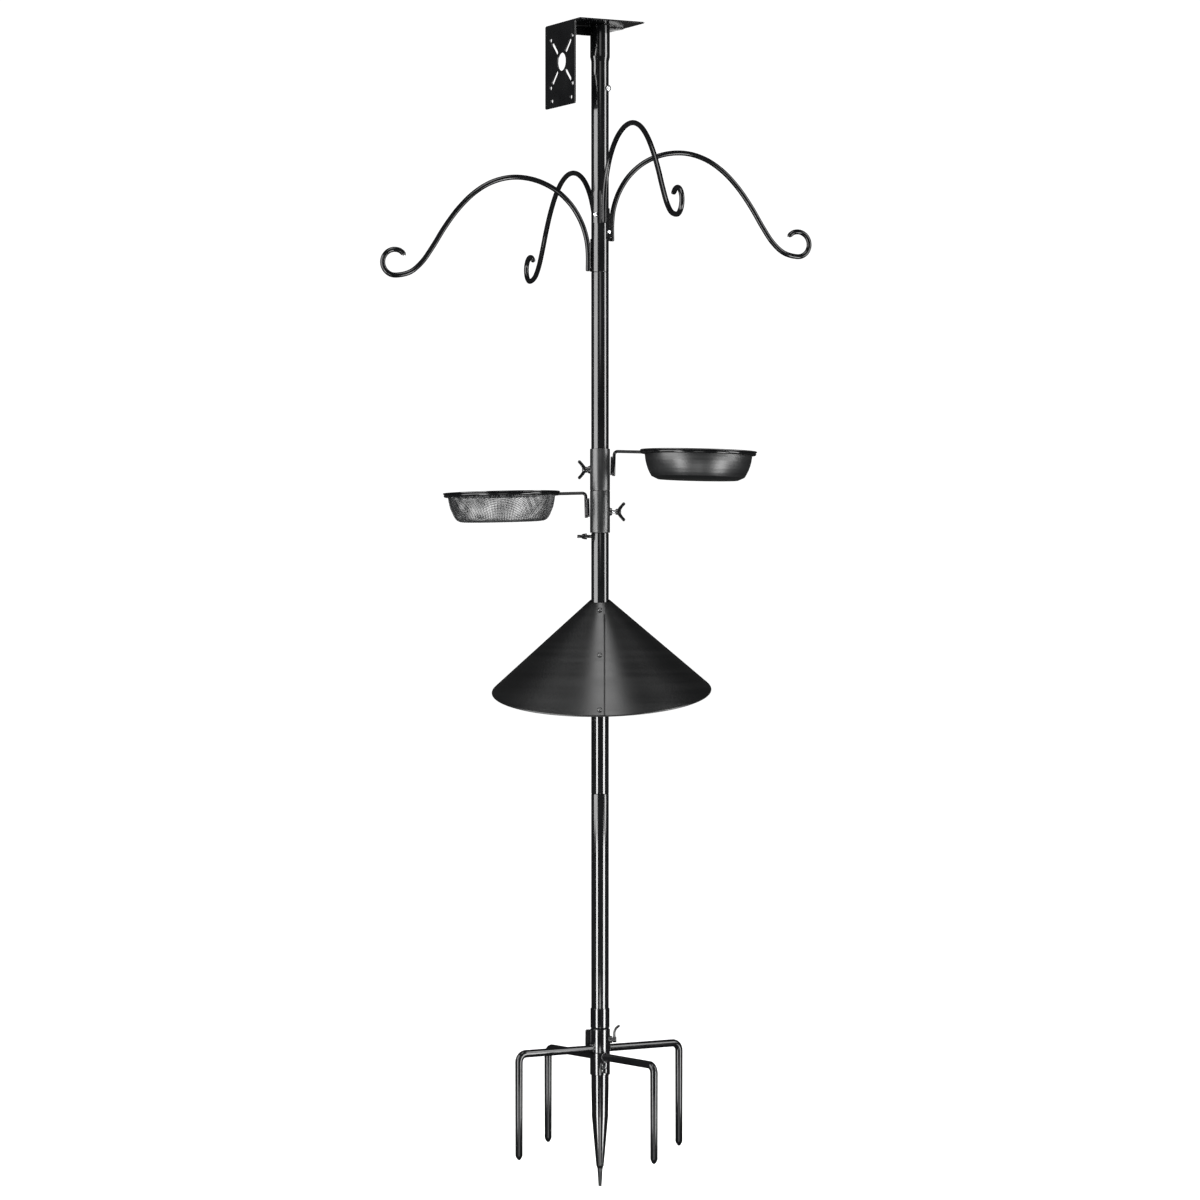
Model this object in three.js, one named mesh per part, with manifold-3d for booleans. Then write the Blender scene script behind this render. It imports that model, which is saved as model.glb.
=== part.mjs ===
// Garden bird feeding pole: a sectional steel pole on a pronged ground stake, with four
// shepherd hooks, two bowls on swivelling holders, a cone baffle and a top wall bracket.
// Millimetres, +Z up. The origin is on the pole's axis at soil level.
import * as THREE from 'three';
import { mergeVertices } from 'three/addons/utils/BufferGeometryUtils.js';
import Module from 'manifold-3d';

const wasm = await Module();
wasm.setup();

// ---- driving dimensions --------------------------------------------------------------
const GAP = 0.3;                 // clearance left between touching pieces
const POLE_R = 12.7;             // 25.4 mm tube
const POLE_WALL = 1.2;
const SPIGOT_R = 11.2;           // reduced end that plugs into the tube below
const SPIGOT_LENGTH = 38;
const POLE_JOINTS = [47, 384, 762, 1140];   // lower end of each pole section
const POLE_TOP = 1497.4;
const POLE_FLARE = { r: 14.3, z: 1452, taper: 7 };    // swelled top end under the bracket

const STAKE = { top: 73, cupBottom: 46.6, cupR: 13.9, r: 12.7, wall: 2, floor: -20, taperTop: -40,
  taperR: 11.9, tubeEnd: -84, swageR: 5.6, neck: -155, neckR: 4, tipR: 2.4, tip: -185 };
const COLLAR_R = 14.5;           // outside of the collars and sleeves that ride the pole
const COLLAR_BORE_R = POLE_R + GAP;
const PRONG = { rodR: 5, reach: 138, bend: 11, foot: -129, point: 8 };
const PRONG_PAIRS = [
  { level: 'upper', barZ: 14.3, bottom: 9.2, top: 43, angles: { front_left: 213.5, back_right: 33.5 } },
  { level: 'lower', barZ: 3.7, bottom: -23, top: 8.8, angles: { front_right: 303.5, back_left: 123.5 } },
];

const ROD_R = 3.75;              // hook arm rod
const ROD_OFFSET = 18.2;         // rod axis from the pole axis at the foot of an arm
const HOOK_ARMS = [
  { name: 'left', angle: 200, z: 1141 },
  { name: 'back', angle: 110, z: 1163.6 },
  { name: 'right', angle: 20, z: 1185.4 },
  { name: 'front', angle: 290, z: 1210 },
];
const ARCH = [[18.2, 0], [18.2, 26], [21, 48], [30, 73], [46, 97], [70, 117], [101, 129.5],
  [134, 132], [165, 124], [192, 107.5], [216, 84], [237, 56], [254, 29], [271, 5.5], [288, -8.5]];
const CURL = { r: 18.4, x: 310.5, z: 4.6, from: -100, to: 140 };
const SADDLE = { height: 47, from: -64, to: 18, screwAngle: -46, screwZ: 12.5 };

const BOWL = { rimR: 85, bodyR: 78.3, baseR: 62, depth: 43, wall: 1.2, lip: 1.6 };
const TRAY_REACH = 143;          // bowl centre from the pole axis
const TRAY_DROOP = 1.3;          // degrees that a loaded holder hangs down
const TRAYS = [
  { name: 'upper', bowl: 'water_bowl', angle: 0, bottom: 823.3, top: 884, rim: 885, screwOut: 0 },
  { name: 'lower', bowl: 'seed_tray', angle: 180, bottom: 762.4, top: 823, rim: 824.5, screwOut: 4.5 },
];
const HOLDER_ROD_R = 1.9;

const BAFFLE = { rimR: 160, mouthR: 15, slope: 42.6, sheet: 1.2, tilt: 12, roll: -1 };
const BAFFLE_PIVOT = [0, 17.4, 664.2];
const BAFFLE_CENTRE = [0, -17.3, 3.5];   // the mouth's middle, from the pivot
const BAFFLE_CLAMP = { bottom: 616, top: 638, screwAngle: 90, screwZ: 627, ringTop: 646 };
const HANGER_PEG = { half: 2.5, near: 13.4, far: 16.4, bottom: 639, top: 661 };

const PLATE = { t: 2, left: -60.8, right: 47.7, front: -49, wallFront: -38, back: 55.8, top: 1500,
  drop: 122 };
const BRACKET_TURN = 27.8;       // degrees that the bracket is swivelled on the pole
const STUB = { bottom: 1380, wall: 1.4 };            // stub tube inside the top of the pole
const WEB = { y: 17.2, depth: 13.4, toe: 0.8, straightTo: -8.5, setback: 0.5 };

const ROUND = 24;                // sides of the pole, collars and sleeves

// ---- finishes ------------------------------------------------------------------------
const finish = (color, roughness, metalness) => () =>
  new THREE.MeshStandardMaterial({ color, roughness, metalness });
const powderCoat = finish(0x17181a, 0.42, 0.35);
const sleeveCoat = finish(0x2a2c2e, 0.5, 0.3);
const satinCoat = finish(0x1d1f20, 0.5, 0.3);
const zincPlate = finish(0xb9bcc0, 0.25, 0.95);
const wireMesh = finish(0x2b2d2f, 0.55, 0.4);

// ---- solid helpers -------------------------------------------------------------------
const rad = THREE.MathUtils.degToRad;

function signedVolume(position, index) {
  const [a, b, c] = [new THREE.Vector3(), new THREE.Vector3(), new THREE.Vector3()];
  let volume = 0;
  for (let i = 0; i < index.length; i += 3) {
    a.fromArray(position, 3 * index[i]);
    b.fromArray(position, 3 * index[i + 1]);
    c.fromArray(position, 3 * index[i + 2]);
    volume += a.dot(b.cross(c)) / 6;
  }
  return volume;
}

// Turns a closed three.js geometry into a solid, with its faces pointing out.
function solid(geometry) {
  const bare = geometry.clone();
  bare.deleteAttribute('normal');
  bare.deleteAttribute('uv');
  const merged = mergeVertices(bare, 1e-4);
  const vertProperties = new Float32Array(merged.attributes.position.array);
  const kept = [];
  const all = merged.index.array;
  for (let i = 0; i < all.length; i += 3) {
    const [p, q, r] = [all[i], all[i + 1], all[i + 2]];
    if (p !== q && q !== r && r !== p) kept.push(p, q, r);
  }
  if (signedVolume(vertProperties, kept) < 0) kept.reverse();
  return new wasm.Manifold(new wasm.Mesh({ numProp: 3, vertProperties, triVerts: new Uint32Array(kept) }));
}

function geometryOf(body) {
  const mesh = body.getMesh();
  const geometry = new THREE.BufferGeometry();
  geometry.setAttribute('position', new THREE.BufferAttribute(new Float32Array(mesh.vertProperties), 3));
  geometry.setIndex(new THREE.BufferAttribute(new Uint32Array(mesh.triVerts), 1));
  geometry.computeVertexNormals();
  return geometry;
}

const join = (...bodies) => bodies.reduce((sum, body) => sum.add(body));
const cut = (body, ...tools) => tools.reduce((rest, tool) => rest.subtract(tool), body);

// Revolves a closed outline of [radius, height] points about +Z.
function turned(outline, segments = ROUND) {
  const points = [...outline, outline[0]].map(([r, z]) => new THREE.Vector2(r, z));
  return solid(new THREE.LatheGeometry(points, segments).rotateX(Math.PI / 2));
}

const tube = (outer, inner, low, high, segments) =>
  turned([[inner, low], [outer, low], [outer, high], [inner, high]], segments);

// A rod along +Z from low to high.
function rodZ(r, low, high, segments = 12, topR = r) {
  const geometry = new THREE.CylinderGeometry(topR, r, high - low, segments);
  return solid(geometry.rotateX(Math.PI / 2).translate(0, 0, (low + high) / 2));
}

function block([x0, x1], [y0, y1], [z0, z1]) {
  const geometry = new THREE.BoxGeometry(x1 - x0, y1 - y0, z1 - z0);
  return solid(geometry.translate((x0 + x1) / 2, (y0 + y1) / 2, (z0 + z1) / 2));
}

function plateFrom(shape, thickness) {
  const options = { depth: thickness, bevelEnabled: false, curveSegments: 6 };
  return solid(new THREE.ExtrudeGeometry(shape, options));
}

// A path through given points, stepped point by point.
class PointPath extends THREE.Curve {
  constructor(points) {
    super();
    this.points = points;
  }

  getPoint(t) {
    const place = t * (this.points.length - 1);
    const index = Math.min(Math.floor(place + 1e-9), this.points.length - 2);
    return this.points[index].clone().lerp(this.points[index + 1], place - index);
  }

  getPointAt(u) {
    return this.getPoint(u);
  }

  getTangentAt(u) {
    const index = Math.round(u * (this.points.length - 1));
    const before = this.points[Math.max(index - 1, 0)];
    const after = this.points[Math.min(index + 1, this.points.length - 1)];
    return after.clone().sub(before).normalize();
  }
}

// Rounds each inner corner of a polyline with an arc.
function rounded(corners, radius, steps = 5) {
  const points = [corners[0].clone()];
  for (let i = 1; i < corners.length - 1; i += 1) {
    const into = corners[i - 1].clone().sub(corners[i]).normalize();
    const out = corners[i + 1].clone().sub(corners[i]).normalize();
    const half = into.angleTo(out) / 2;
    const setback = radius / Math.tan(half);
    const bisector = into.clone().add(out).normalize();
    const centre = bisector.multiplyScalar(radius / Math.sin(half)).add(corners[i]);
    const start = corners[i].clone().addScaledVector(into, setback).sub(centre);
    const axis = start.clone().cross(into.clone().negate()).normalize();
    for (let k = 0; k <= steps; k += 1) {
      points.push(start.clone().applyAxisAngle(axis, ((Math.PI - 2 * half) * k) / steps).add(centre));
    }
  }
  points.push(corners[corners.length - 1].clone());
  return points;
}

// A round bar along points, with as many sides as asked.
function bar(points, radius, sides = 8) {
  const shape = new THREE.Shape();
  for (let i = 0; i < sides; i += 1) {
    const angle = (2 * Math.PI * (i + 0.5)) / sides;
    if (i === 0) shape.moveTo(radius * Math.cos(angle), radius * Math.sin(angle));
    else shape.lineTo(radius * Math.cos(angle), radius * Math.sin(angle));
  }
  const extrudePath = new PointPath(points);
  return solid(new THREE.ExtrudeGeometry(shape, { steps: points.length - 1, extrudePath }));
}

const at = (x, y, z) => new THREE.Vector3(x, y, z);

// Moves a solid made along +Z so that +Z points outwards at an angle round the pole.
function outward(body, angle, radius, z) {
  return body.rotate([0, 90, 0]).translate([radius, 0, 0]).rotate([0, 0, angle]).translate([0, 0, z]);
}

function piece(name, body, material) {
  const mesh = new THREE.Mesh(geometryOf(body), material());
  mesh.name = name;
  return mesh;
}

function assembly(...children) {
  const group = new THREE.Group();
  children.forEach((child) => group.add(child));
  return group;
}

// ---- ground stake and prongs ---------------------------------------------------------
const BOSS = { r: 5.2, height: 3.2, bore: 2.8 };
const PAD = { angle: 290, z: -12, t: 1.6, height: 16, width: 9 };
const EAR = { near: 13.3, far: 21.5, half: 3.8, bottom: 16.5, top: 42, holeZ: 29 };
const LEVER = { angle: 0, z: 27.5 };
const SCREW_R = 2.4;

// Adds a screw boss to a collar and bores it through.
function withBoss(collar, angle, z) {
  const boss = outward(rodZ(BOSS.r, -0.8, BOSS.height), angle, COLLAR_R, z);
  return cut(join(collar, boss), outward(rodZ(BOSS.bore, -5, 8), angle, COLLAR_R, z));
}

function groundStake() {
  const s = STAKE;
  const bore = POLE_R + GAP;
  const cavityR = s.r - s.wall;
  const point = [[0, s.tip], [s.tipR, s.tip], [s.neckR, s.neck - 4], [s.swageR, s.neck]];
  const outside = [...point, [s.taperR, s.tubeEnd], [s.r, s.taperTop]];
  const cup = [[s.r, s.cupBottom - 3], [s.cupR, s.cupBottom - 1], [s.cupR, s.top], [bore, s.top]];
  const inside = [[bore, s.cupBottom], [cavityR, s.cupBottom], [cavityR, s.floor], [0, s.floor]];
  const body = turned([...outside, ...cup, ...inside]);
  return piece('ground_stake', body, powderCoat);
}

function prongCollar(pair) {
  let body = tube(COLLAR_R, COLLAR_BORE_R, pair.bottom, pair.top, ROUND);
  if (pair.level === 'upper') {
    const ear = block([-EAR.far, -EAR.near], [-EAR.half, EAR.half], [EAR.bottom, EAR.top]);
    const earHole = outward(rodZ(BOSS.bore, -6, 14), 180, COLLAR_R, EAR.holeZ);
    body = withBoss(cut(join(body, ear), earHole), LEVER.angle, LEVER.z);
  } else {
    const [h, w] = [PAD.height / 2, PAD.width / 2];
    const pad = outward(block([-h, h], [-w, w], [-1.3, PAD.t]), PAD.angle, COLLAR_R, PAD.z);
    const padHole = outward(rodZ(SCREW_R, -6, 8, 12), PAD.angle, COLLAR_R, PAD.z);
    body = cut(join(body, pad), rodZ(COLLAR_BORE_R, -40, 40, ROUND), padHole);
  }
  return piece(`prong_collar_${pair.level}`, body, powderCoat);
}

function prong(name, angle, barZ) {
  const p = PRONG;
  const corners = [at(COLLAR_R + GAP, 0, barZ), at(p.reach, 0, barZ), at(p.reach, 0, p.foot)];
  const shaft = bar(rounded(corners, p.bend), p.rodR, 10);
  const point = rodZ(p.rodR * 0.25, p.foot - p.point, p.foot + 2, 10, p.rodR * 0.9);
  const body = join(shaft, point.translate([p.reach, 0, 0])).rotate([0, 0, angle]);
  return piece(`prong_${name}`, body, powderCoat);
}

// A turned lever: a hub on the clamp screw and one thumb wing that sweeps up and out.
function clampLever() {
  const shank = rodZ(SCREW_R, -1.2, 8);
  const hub = rodZ(4.2, BOSS.height + GAP, 9.5, 16);
  const sweep = [at(-1, 0, 6.6), at(-8, 0, 6.2), at(-14, 0, 7.2), at(-18, 0, 10), at(-20.5, 0, 14)];
  const wing = bar(sweep, 1.9);
  return piece('clamp_lever', outward(join(shank, hub, wing), LEVER.angle, COLLAR_R, LEVER.z), powderCoat);
}

function groundParts() {
  const group = assembly(groundStake(), clampLever());
  for (const pair of PRONG_PAIRS) {
    group.add(prongCollar(pair));
    for (const [name, angle] of Object.entries(pair.angles)) group.add(prong(name, angle, pair.barZ));
  }
  group.add(roundScrew('collar_screw', PAD.angle, COLLAR_R + PAD.t, PAD.z, 1, 2.6));
  return group;
}

// ---- pole ----------------------------------------------------------------------------
function crossHole(angle, z, radius = SCREW_R) {
  return outward(rodZ(radius, -8, 6, 10), angle, POLE_R, z);
}

const JOINT_SCREW = { z: 757, angle: 180, out: 2.6, lean: 84 };
const BRACKET_SCREW = { z: 1406, angle: 330, size: 1.35 };

function poleSection(index) {
  const low = POLE_JOINTS[index];
  const isTop = index === POLE_JOINTS.length - 1;
  const high = isTop ? POLE_TOP : POLE_JOINTS[index + 1] - GAP;
  const bore = POLE_R - POLE_WALL;
  const spigotBore = SPIGOT_R - POLE_WALL;
  const foot = low - SPIGOT_LENGTH;
  const outline = [[spigotBore, foot], [SPIGOT_R, foot], [SPIGOT_R, low], [POLE_R, low]];
  if (isTop) {
    const f = POLE_FLARE;
    outline.push([POLE_R, f.z - f.taper], [f.r, f.z], [f.r, high]);
    outline.push([f.r - POLE_WALL, high], [f.r - POLE_WALL, f.z], [bore, f.z - f.taper]);
  } else {
    outline.push([POLE_R, high], [bore, high]);
  }
  outline.push([bore, low + 6], [spigotBore, low + 2]);
  let body = turned(index === 0 ? stakeEnd(outline, low) : outline, ROUND);
  if (index === 1) body = cut(body, crossHole(JOINT_SCREW.angle, JOINT_SCREW.z, BOSS.bore));
  if (isTop) {
    body = cut(body, crossHole(BRACKET_SCREW.angle, BRACKET_SCREW.z));
    for (const arm of HOOK_ARMS) {
      body = cut(body, crossHole(arm.angle + SADDLE.screwAngle, arm.z + SADDLE.screwZ));
    }
  }
  return piece(`pole_section_${index + 1}`, body, powderCoat);
}

// The bottom section keeps its full diameter down into the stake's cup.
function stakeEnd(outline, low) {
  const bore = POLE_R - POLE_WALL;
  const upper = outline.filter(([, z]) => z > low + 7);
  return [[bore, low], [POLE_R, low], ...upper];
}

// ---- fasteners -----------------------------------------------------------------------
// A pan head screw whose head sits on a surface at the given radius.
function roundScrew(name, angle, radius, z, scale = 1, shankLength = 3.5) {
  const head = turned([[0, GAP], [3.5 * scale, GAP], [3.5 * scale, 1.6], [2.4 * scale, 2.9], [0, 3.3]], 12);
  const shank = rodZ(2, -shankLength, GAP + 0.2, 12);
  return piece(name, outward(join(head, shank), angle, radius, z), zincPlate);
}

// Two wings in a V on a hub, on a shank that reaches the pole through its boss.
function wingScrew(name, angle, radius, z, out, lean) {
  const hubOutline = [[0, 0], [4.4, 0], [4.4, 3], [3.2, 7], [0, 7]];
  const hub = turned(hubOutline, 16).translate([0, 0, BOSS.height + GAP + out]);
  const shank = rodZ(SCREW_R, -1.1, BOSS.height + out + 1, 12);
  const start = BOSS.height + out;
  const shape = new THREE.Shape();
  shape.moveTo(1, start + 1.5);
  shape.quadraticCurveTo(7, start + 4, 11.6, start + 9.5);
  shape.absarc(11.4, start + 12.1, 2.3, rad(-60), rad(130), false);
  shape.quadraticCurveTo(5.6, start + 9.6, 1, start + 6.6);
  const wing = plateFrom(shape, 2.2).translate([0, 0, -1.1]).rotate([90, 0, 0]);
  const wings = join(wing, wing.rotate([0, 0, 180]));
  const body = join(shank, hub, wings).rotate([0, 0, lean]);
  return piece(name, outward(body, angle, radius, z), powderCoat);
}

// ---- shepherd hooks ------------------------------------------------------------------
function hookLine() {
  const stem = ARCH.map(([r, z]) => at(r, 0, z));
  for (let angle = CURL.from; angle <= CURL.to; angle += 30) {
    stem.push(at(CURL.x + CURL.r * Math.cos(rad(angle)), 0, CURL.z + CURL.r * Math.sin(rad(angle))));
  }
  return new THREE.CatmullRomCurve3(stem, false, 'centripetal').getSpacedPoints(42);
}

function hookArm(arm) {
  const rod = bar(hookLine(), ROD_R, 8).rotate([0, 0, arm.angle]).translate([0, 0, arm.z]);
  return piece(`hook_arm_${arm.name}`, rod, powderCoat);
}

// A curved tab that hugs the pole beside the rod and takes the fixing screw.
function hookSaddle(arm) {
  const inner = POLE_R + 0.3;
  const outer = ROD_OFFSET - ROD_R - GAP;
  const shape = new THREE.Shape();
  shape.absarc(0, 0, outer, rad(SADDLE.from), rad(SADDLE.to), false);
  shape.absarc(0, 0, inner, rad(SADDLE.to), rad(SADDLE.from), true);
  const tab = plateFrom(shape, SADDLE.height);
  const hole = outward(rodZ(SCREW_R, -6, 6), SADDLE.screwAngle, outer, SADDLE.screwZ);
  const body = cut(tab, hole).rotate([0, 0, arm.angle]).translate([0, 0, arm.z]);
  return piece(`hook_saddle_${arm.name}`, body, powderCoat);
}

function hooks() {
  const group = assembly();
  for (const arm of HOOK_ARMS) {
    const angle = arm.angle + SADDLE.screwAngle;
    const seat = ROD_OFFSET - ROD_R - GAP;
    group.add(hookArm(arm), hookSaddle(arm));
    group.add(roundScrew(`saddle_screw_${arm.name}`, angle, seat, arm.z + SADDLE.screwZ));
  }
  return group;
}

// ---- bowls and their holders ---------------------------------------------------------
function bowlBody(b) {
  const side = [[b.baseR, -b.depth], [70.3, -34], [75.3, -22], [77.6, -11], [b.bodyR, -b.lip]];
  const inside = side.map(([r, z]) => [r - b.wall, z + (z === -b.depth ? b.wall : 0)]).reverse();
  inside[0] = [b.bodyR - b.wall, 0];
  const rim = [[b.rimR, -b.lip], [b.rimR, 0]];
  return turned([[0, -b.depth], ...side, ...rim, ...inside, [0, b.wall - b.depth]], 40);
}

function holderRing(tray) {
  const ringR = BOWL.bodyR + HOLDER_ROD_R + 0.9;
  const level = -BOWL.lip - GAP - HOLDER_ROD_R;
  const hoop = new THREE.TorusGeometry(ringR, HOLDER_ROD_R, 6, 48).translate(TRAY_REACH, 0, level);
  const legR = COLLAR_R + 4 + HOLDER_ROD_R;
  const corners = [at(legR, 0, level - 36), at(legR, 0, level), at(TRAY_REACH - ringR + 0.5, 0, level)];
  const arm = bar(rounded(corners, 5), HOLDER_ROD_R, 8);
  const pad = block([COLLAR_R + 1.2, legR - 0.8], [-4.5, 4.5], [level - 35, level - 8]);
  return piece(`tray_holder_${tray.name}`, join(solid(hoop), arm, pad), powderCoat);
}

function sleeve(tray) {
  const z = (tray.bottom + tray.top) / 2;
  const shell = tube(COLLAR_R, COLLAR_BORE_R, tray.bottom, tray.top, ROUND);
  return piece(`tray_sleeve_${tray.name}`, withBoss(shell, tray.angle + 180, z), sleeveCoat);
}

function trays() {
  const group = assembly();
  for (const tray of TRAYS) {
    const bowl = piece(tray.bowl, bowlBody(BOWL), tray.bowl === 'water_bowl' ? satinCoat : wireMesh);
    bowl.position.x = TRAY_REACH;
    const tipped = assembly(bowl, holderRing(tray));
    tipped.rotation.y = rad(TRAY_DROOP);
    const turnedTo = assembly(tipped);
    turnedTo.rotation.z = rad(tray.angle);
    turnedTo.position.z = tray.rim;
    const screwZ = (tray.bottom + tray.top) / 2;
    group.add(turnedTo, sleeve(tray));
    const name = `wing_screw_${tray.name}`;
    group.add(wingScrew(name, tray.angle + 180, COLLAR_R, screwZ, tray.screwOut, 0));
  }
  return group;
}

// ---- baffle --------------------------------------------------------------------------
const BAFFLE_SEAM_ANGLE = 269;
const SEAM_SCREWS = { top: 0.07, middle: 0.47, rim: 0.95 };

function coneSheet() {
  const b = BAFFLE;
  const rise = Math.tan(rad(b.slope));
  const drop = (b.rimR - b.mouthR) * rise;
  const sheetZ = b.sheet / Math.cos(rad(b.slope));
  const shell = turned([[b.mouthR, 0], [b.rimR, -drop], [b.rimR, -drop - sheetZ], [b.mouthR, -sheetZ]], 64);
  const length = Math.hypot(b.rimR - b.mouthR, drop);
  const flap = block([0.5, length - 0.5], [-8, 8], [-0.6, b.sheet]).rotate([0, b.slope, 0]);
  const laid = flap.translate([b.mouthR, 0, 0]).rotate([0, 0, BAFFLE_SEAM_ANGLE]);
  let body = join(shell, laid);
  for (const along of Object.values(SEAM_SCREWS)) body = cut(body, onSlope(rodZ(2.1, -6, 6, 12), along));
  return body;
}

// Places a solid made along +Z on the cone's slope, some way down its seam.
function onSlope(body, along) {
  const b = BAFFLE;
  const run = (b.rimR - b.mouthR) * along;
  const down = run * Math.tan(rad(b.slope));
  const laid = body.rotate([0, b.slope, 0]).translate([b.mouthR + run, 0, -down]);
  return laid.rotate([0, 0, BAFFLE_SEAM_ANGLE]);
}

function seamScrew(name, along) {
  const lift = BAFFLE.sheet + GAP;
  const head = turned([[0, lift], [3.4, lift], [3.2, lift + 1.2], [1.8, lift + 2], [0, lift + 2.2]], 12);
  const body = join(head, rodZ(1.8, -2.6, lift + 0.3, 12), rodZ(3.3, -4.6, -1.2 - GAP, 6));
  return piece(`baffle_screw_${name}`, onSlope(body, along), powderCoat);
}

function baffle() {
  const cone = piece('baffle_cone', coneSheet(), satinCoat);
  const centred = assembly(cone);
  for (const [name, along] of Object.entries(SEAM_SCREWS)) centred.add(seamScrew(name, along));
  centred.position.fromArray(BAFFLE_CENTRE);
  const hung = assembly(centred);
  hung.position.fromArray(BAFFLE_PIVOT);
  hung.rotation.set(rad(BAFFLE.tilt), rad(BAFFLE.roll), 0);

  const [c, p] = [BAFFLE_CLAMP, HANGER_PEG];
  const collar = tube(COLLAR_R, COLLAR_BORE_R, c.bottom, c.top, ROUND);
  const bossed = withBoss(collar, c.screwAngle, c.screwZ);
  const ring = tube(COLLAR_R, COLLAR_BORE_R, c.top + GAP, c.ringTop, ROUND);
  const peg = block([-p.half, p.half], [p.near, p.far], [p.bottom, p.top]);
  const group = assembly(hung, piece('baffle_collar', bossed, powderCoat));
  group.add(piece('baffle_hanger', join(ring, peg), powderCoat));
  const seat = COLLAR_R + BOSS.height;
  group.add(roundScrew('baffle_collar_screw', c.screwAngle, seat, c.screwZ, 1.2));
  return group;
}

// ---- top bracket ---------------------------------------------------------------------
function slotShape(from, to, width) {
  const [dx, dy] = [to[0] - from[0], to[1] - from[1]];
  const angle = Math.atan2(dy, dx);
  const shape = new THREE.Path();
  shape.absarc(to[0], to[1], width / 2, angle - Math.PI / 2, angle + Math.PI / 2, false);
  shape.absarc(from[0], from[1], width / 2, angle + Math.PI / 2, angle + 1.5 * Math.PI, false);
  return shape;
}

function roundHole(x, y, r) {
  const hole = new THREE.Path();
  hole.absarc(x, y, r, 0, 2 * Math.PI, false);
  return hole;
}

const HOLES = { y: 4, z: 1442, centreR: 13, cornerX: 34, cornerY: 34.5, cornerR: 3, footX: 30, footY: -54,
  slotWidth: 5.6, slotFrom: 0.42, slotTo: 0.8 };

// The wall plate, drawn flat: a round centre hole, four slots and corner holes in an X.
function wallPlate() {
  const p = PLATE;
  const [near, far] = [p.wallFront - HOLES.y, p.back - HOLES.y];
  const [high, low] = [p.top - HOLES.z, p.top - p.drop - HOLES.z];
  const shape = new THREE.Shape([[near, low], [far, low], [far, high], [near, high]]
    .map(([x, y]) => new THREE.Vector2(x, y)));
  shape.holes.push(roundHole(0, 0, HOLES.centreR));
  for (const sx of [-1, 1]) {
    shape.holes.push(roundHole(sx * HOLES.footX, HOLES.footY, HOLES.cornerR));
    for (const sy of [-1, 1]) {
      const corner = [sx * HOLES.cornerX, sy * HOLES.cornerY];
      shape.holes.push(roundHole(...corner, HOLES.cornerR));
      const ends = [HOLES.slotFrom, HOLES.slotTo].map((part) => corner.map((c) => c * part));
      shape.holes.push(slotShape(...ends, HOLES.slotWidth));
    }
  }
  const flat = plateFrom(shape, p.t).rotate([90, 0, 90]);
  return flat.translate([p.left, HOLES.y, HOLES.z]);
}

function bracket() {
  const p = PLATE;
  const shelf = block([p.left, p.right], [p.front, p.back], [p.top - p.t, p.top]);
  const stubTop = p.top - p.t - GAP;
  const stub = tube(SPIGOT_R, SPIGOT_R - STUB.wall, STUB.bottom, stubTop, ROUND);
  const web = new THREE.Shape();
  const [heel, toe] = [p.left + p.t + GAP, p.right - WEB.setback];
  web.moveTo(heel, 0);
  web.lineTo(heel, -WEB.depth);
  web.lineTo(WEB.straightTo, -WEB.depth);
  web.lineTo(toe, -WEB.toe);
  web.lineTo(toe, 0);
  const gusset = plateFrom(web, p.t).rotate([90, 0, 0]).translate([0, WEB.y, stubTop]);
  const group = assembly(piece('bracket_plate', join(shelf, wallPlate()), powderCoat));
  group.add(piece('bracket_stub', stub, powderCoat), piece('bracket_gusset', gusset, powderCoat));
  group.rotation.z = rad(BRACKET_TURN);
  return group;
}

// ---- the whole feeder ----------------------------------------------------------------
const feeder = assembly(groundParts(), hooks(), trays(), baffle(), bracket());
POLE_JOINTS.forEach((_, index) => feeder.add(poleSection(index)));
const joint = JOINT_SCREW;
feeder.add(wingScrew('pole_joint_screw', joint.angle, POLE_R, joint.z, joint.out, joint.lean));
const { angle, z, size } = BRACKET_SCREW;
feeder.add(roundScrew('bracket_screw', angle, POLE_R, z, size, POLE_WALL));
feeder.name = 'bird_feeder_on_pole';

export default feeder;
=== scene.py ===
import math

import bmesh
import bpy
from mathutils import Matrix, Vector


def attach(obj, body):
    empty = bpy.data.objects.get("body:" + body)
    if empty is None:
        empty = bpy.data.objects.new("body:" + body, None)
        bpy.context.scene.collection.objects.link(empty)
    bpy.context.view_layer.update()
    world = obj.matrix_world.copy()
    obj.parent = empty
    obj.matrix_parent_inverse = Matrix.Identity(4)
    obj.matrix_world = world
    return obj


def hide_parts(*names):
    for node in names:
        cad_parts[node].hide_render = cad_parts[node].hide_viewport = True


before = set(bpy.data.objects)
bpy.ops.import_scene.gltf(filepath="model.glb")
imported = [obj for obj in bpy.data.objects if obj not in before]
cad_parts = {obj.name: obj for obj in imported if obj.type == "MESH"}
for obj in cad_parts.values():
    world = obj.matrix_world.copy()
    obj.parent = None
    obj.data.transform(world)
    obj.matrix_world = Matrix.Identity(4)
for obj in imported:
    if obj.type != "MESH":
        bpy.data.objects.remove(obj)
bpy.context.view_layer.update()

MM = 0.001
POLE_BODY = "stake_and_pole"

# Sizes that every maker of this pole works to.
TUBE_R = 12.7 * MM
SPIGOT_R = 11.2 * MM
COLLAR_R = 14.5 * MM
COLLAR_BORE = 13.0 * MM
HOOK_ROD_R = 3.75 * MM
PRONG_ROD_R = 5.5 * MM
HOLDER_ROD_R = 2.3 * MM
BOSS_R = 5.2 * MM
BOSS_OUT = 3.2 * MM
ROUND = 96                      # sides of a smooth turned piece


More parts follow.
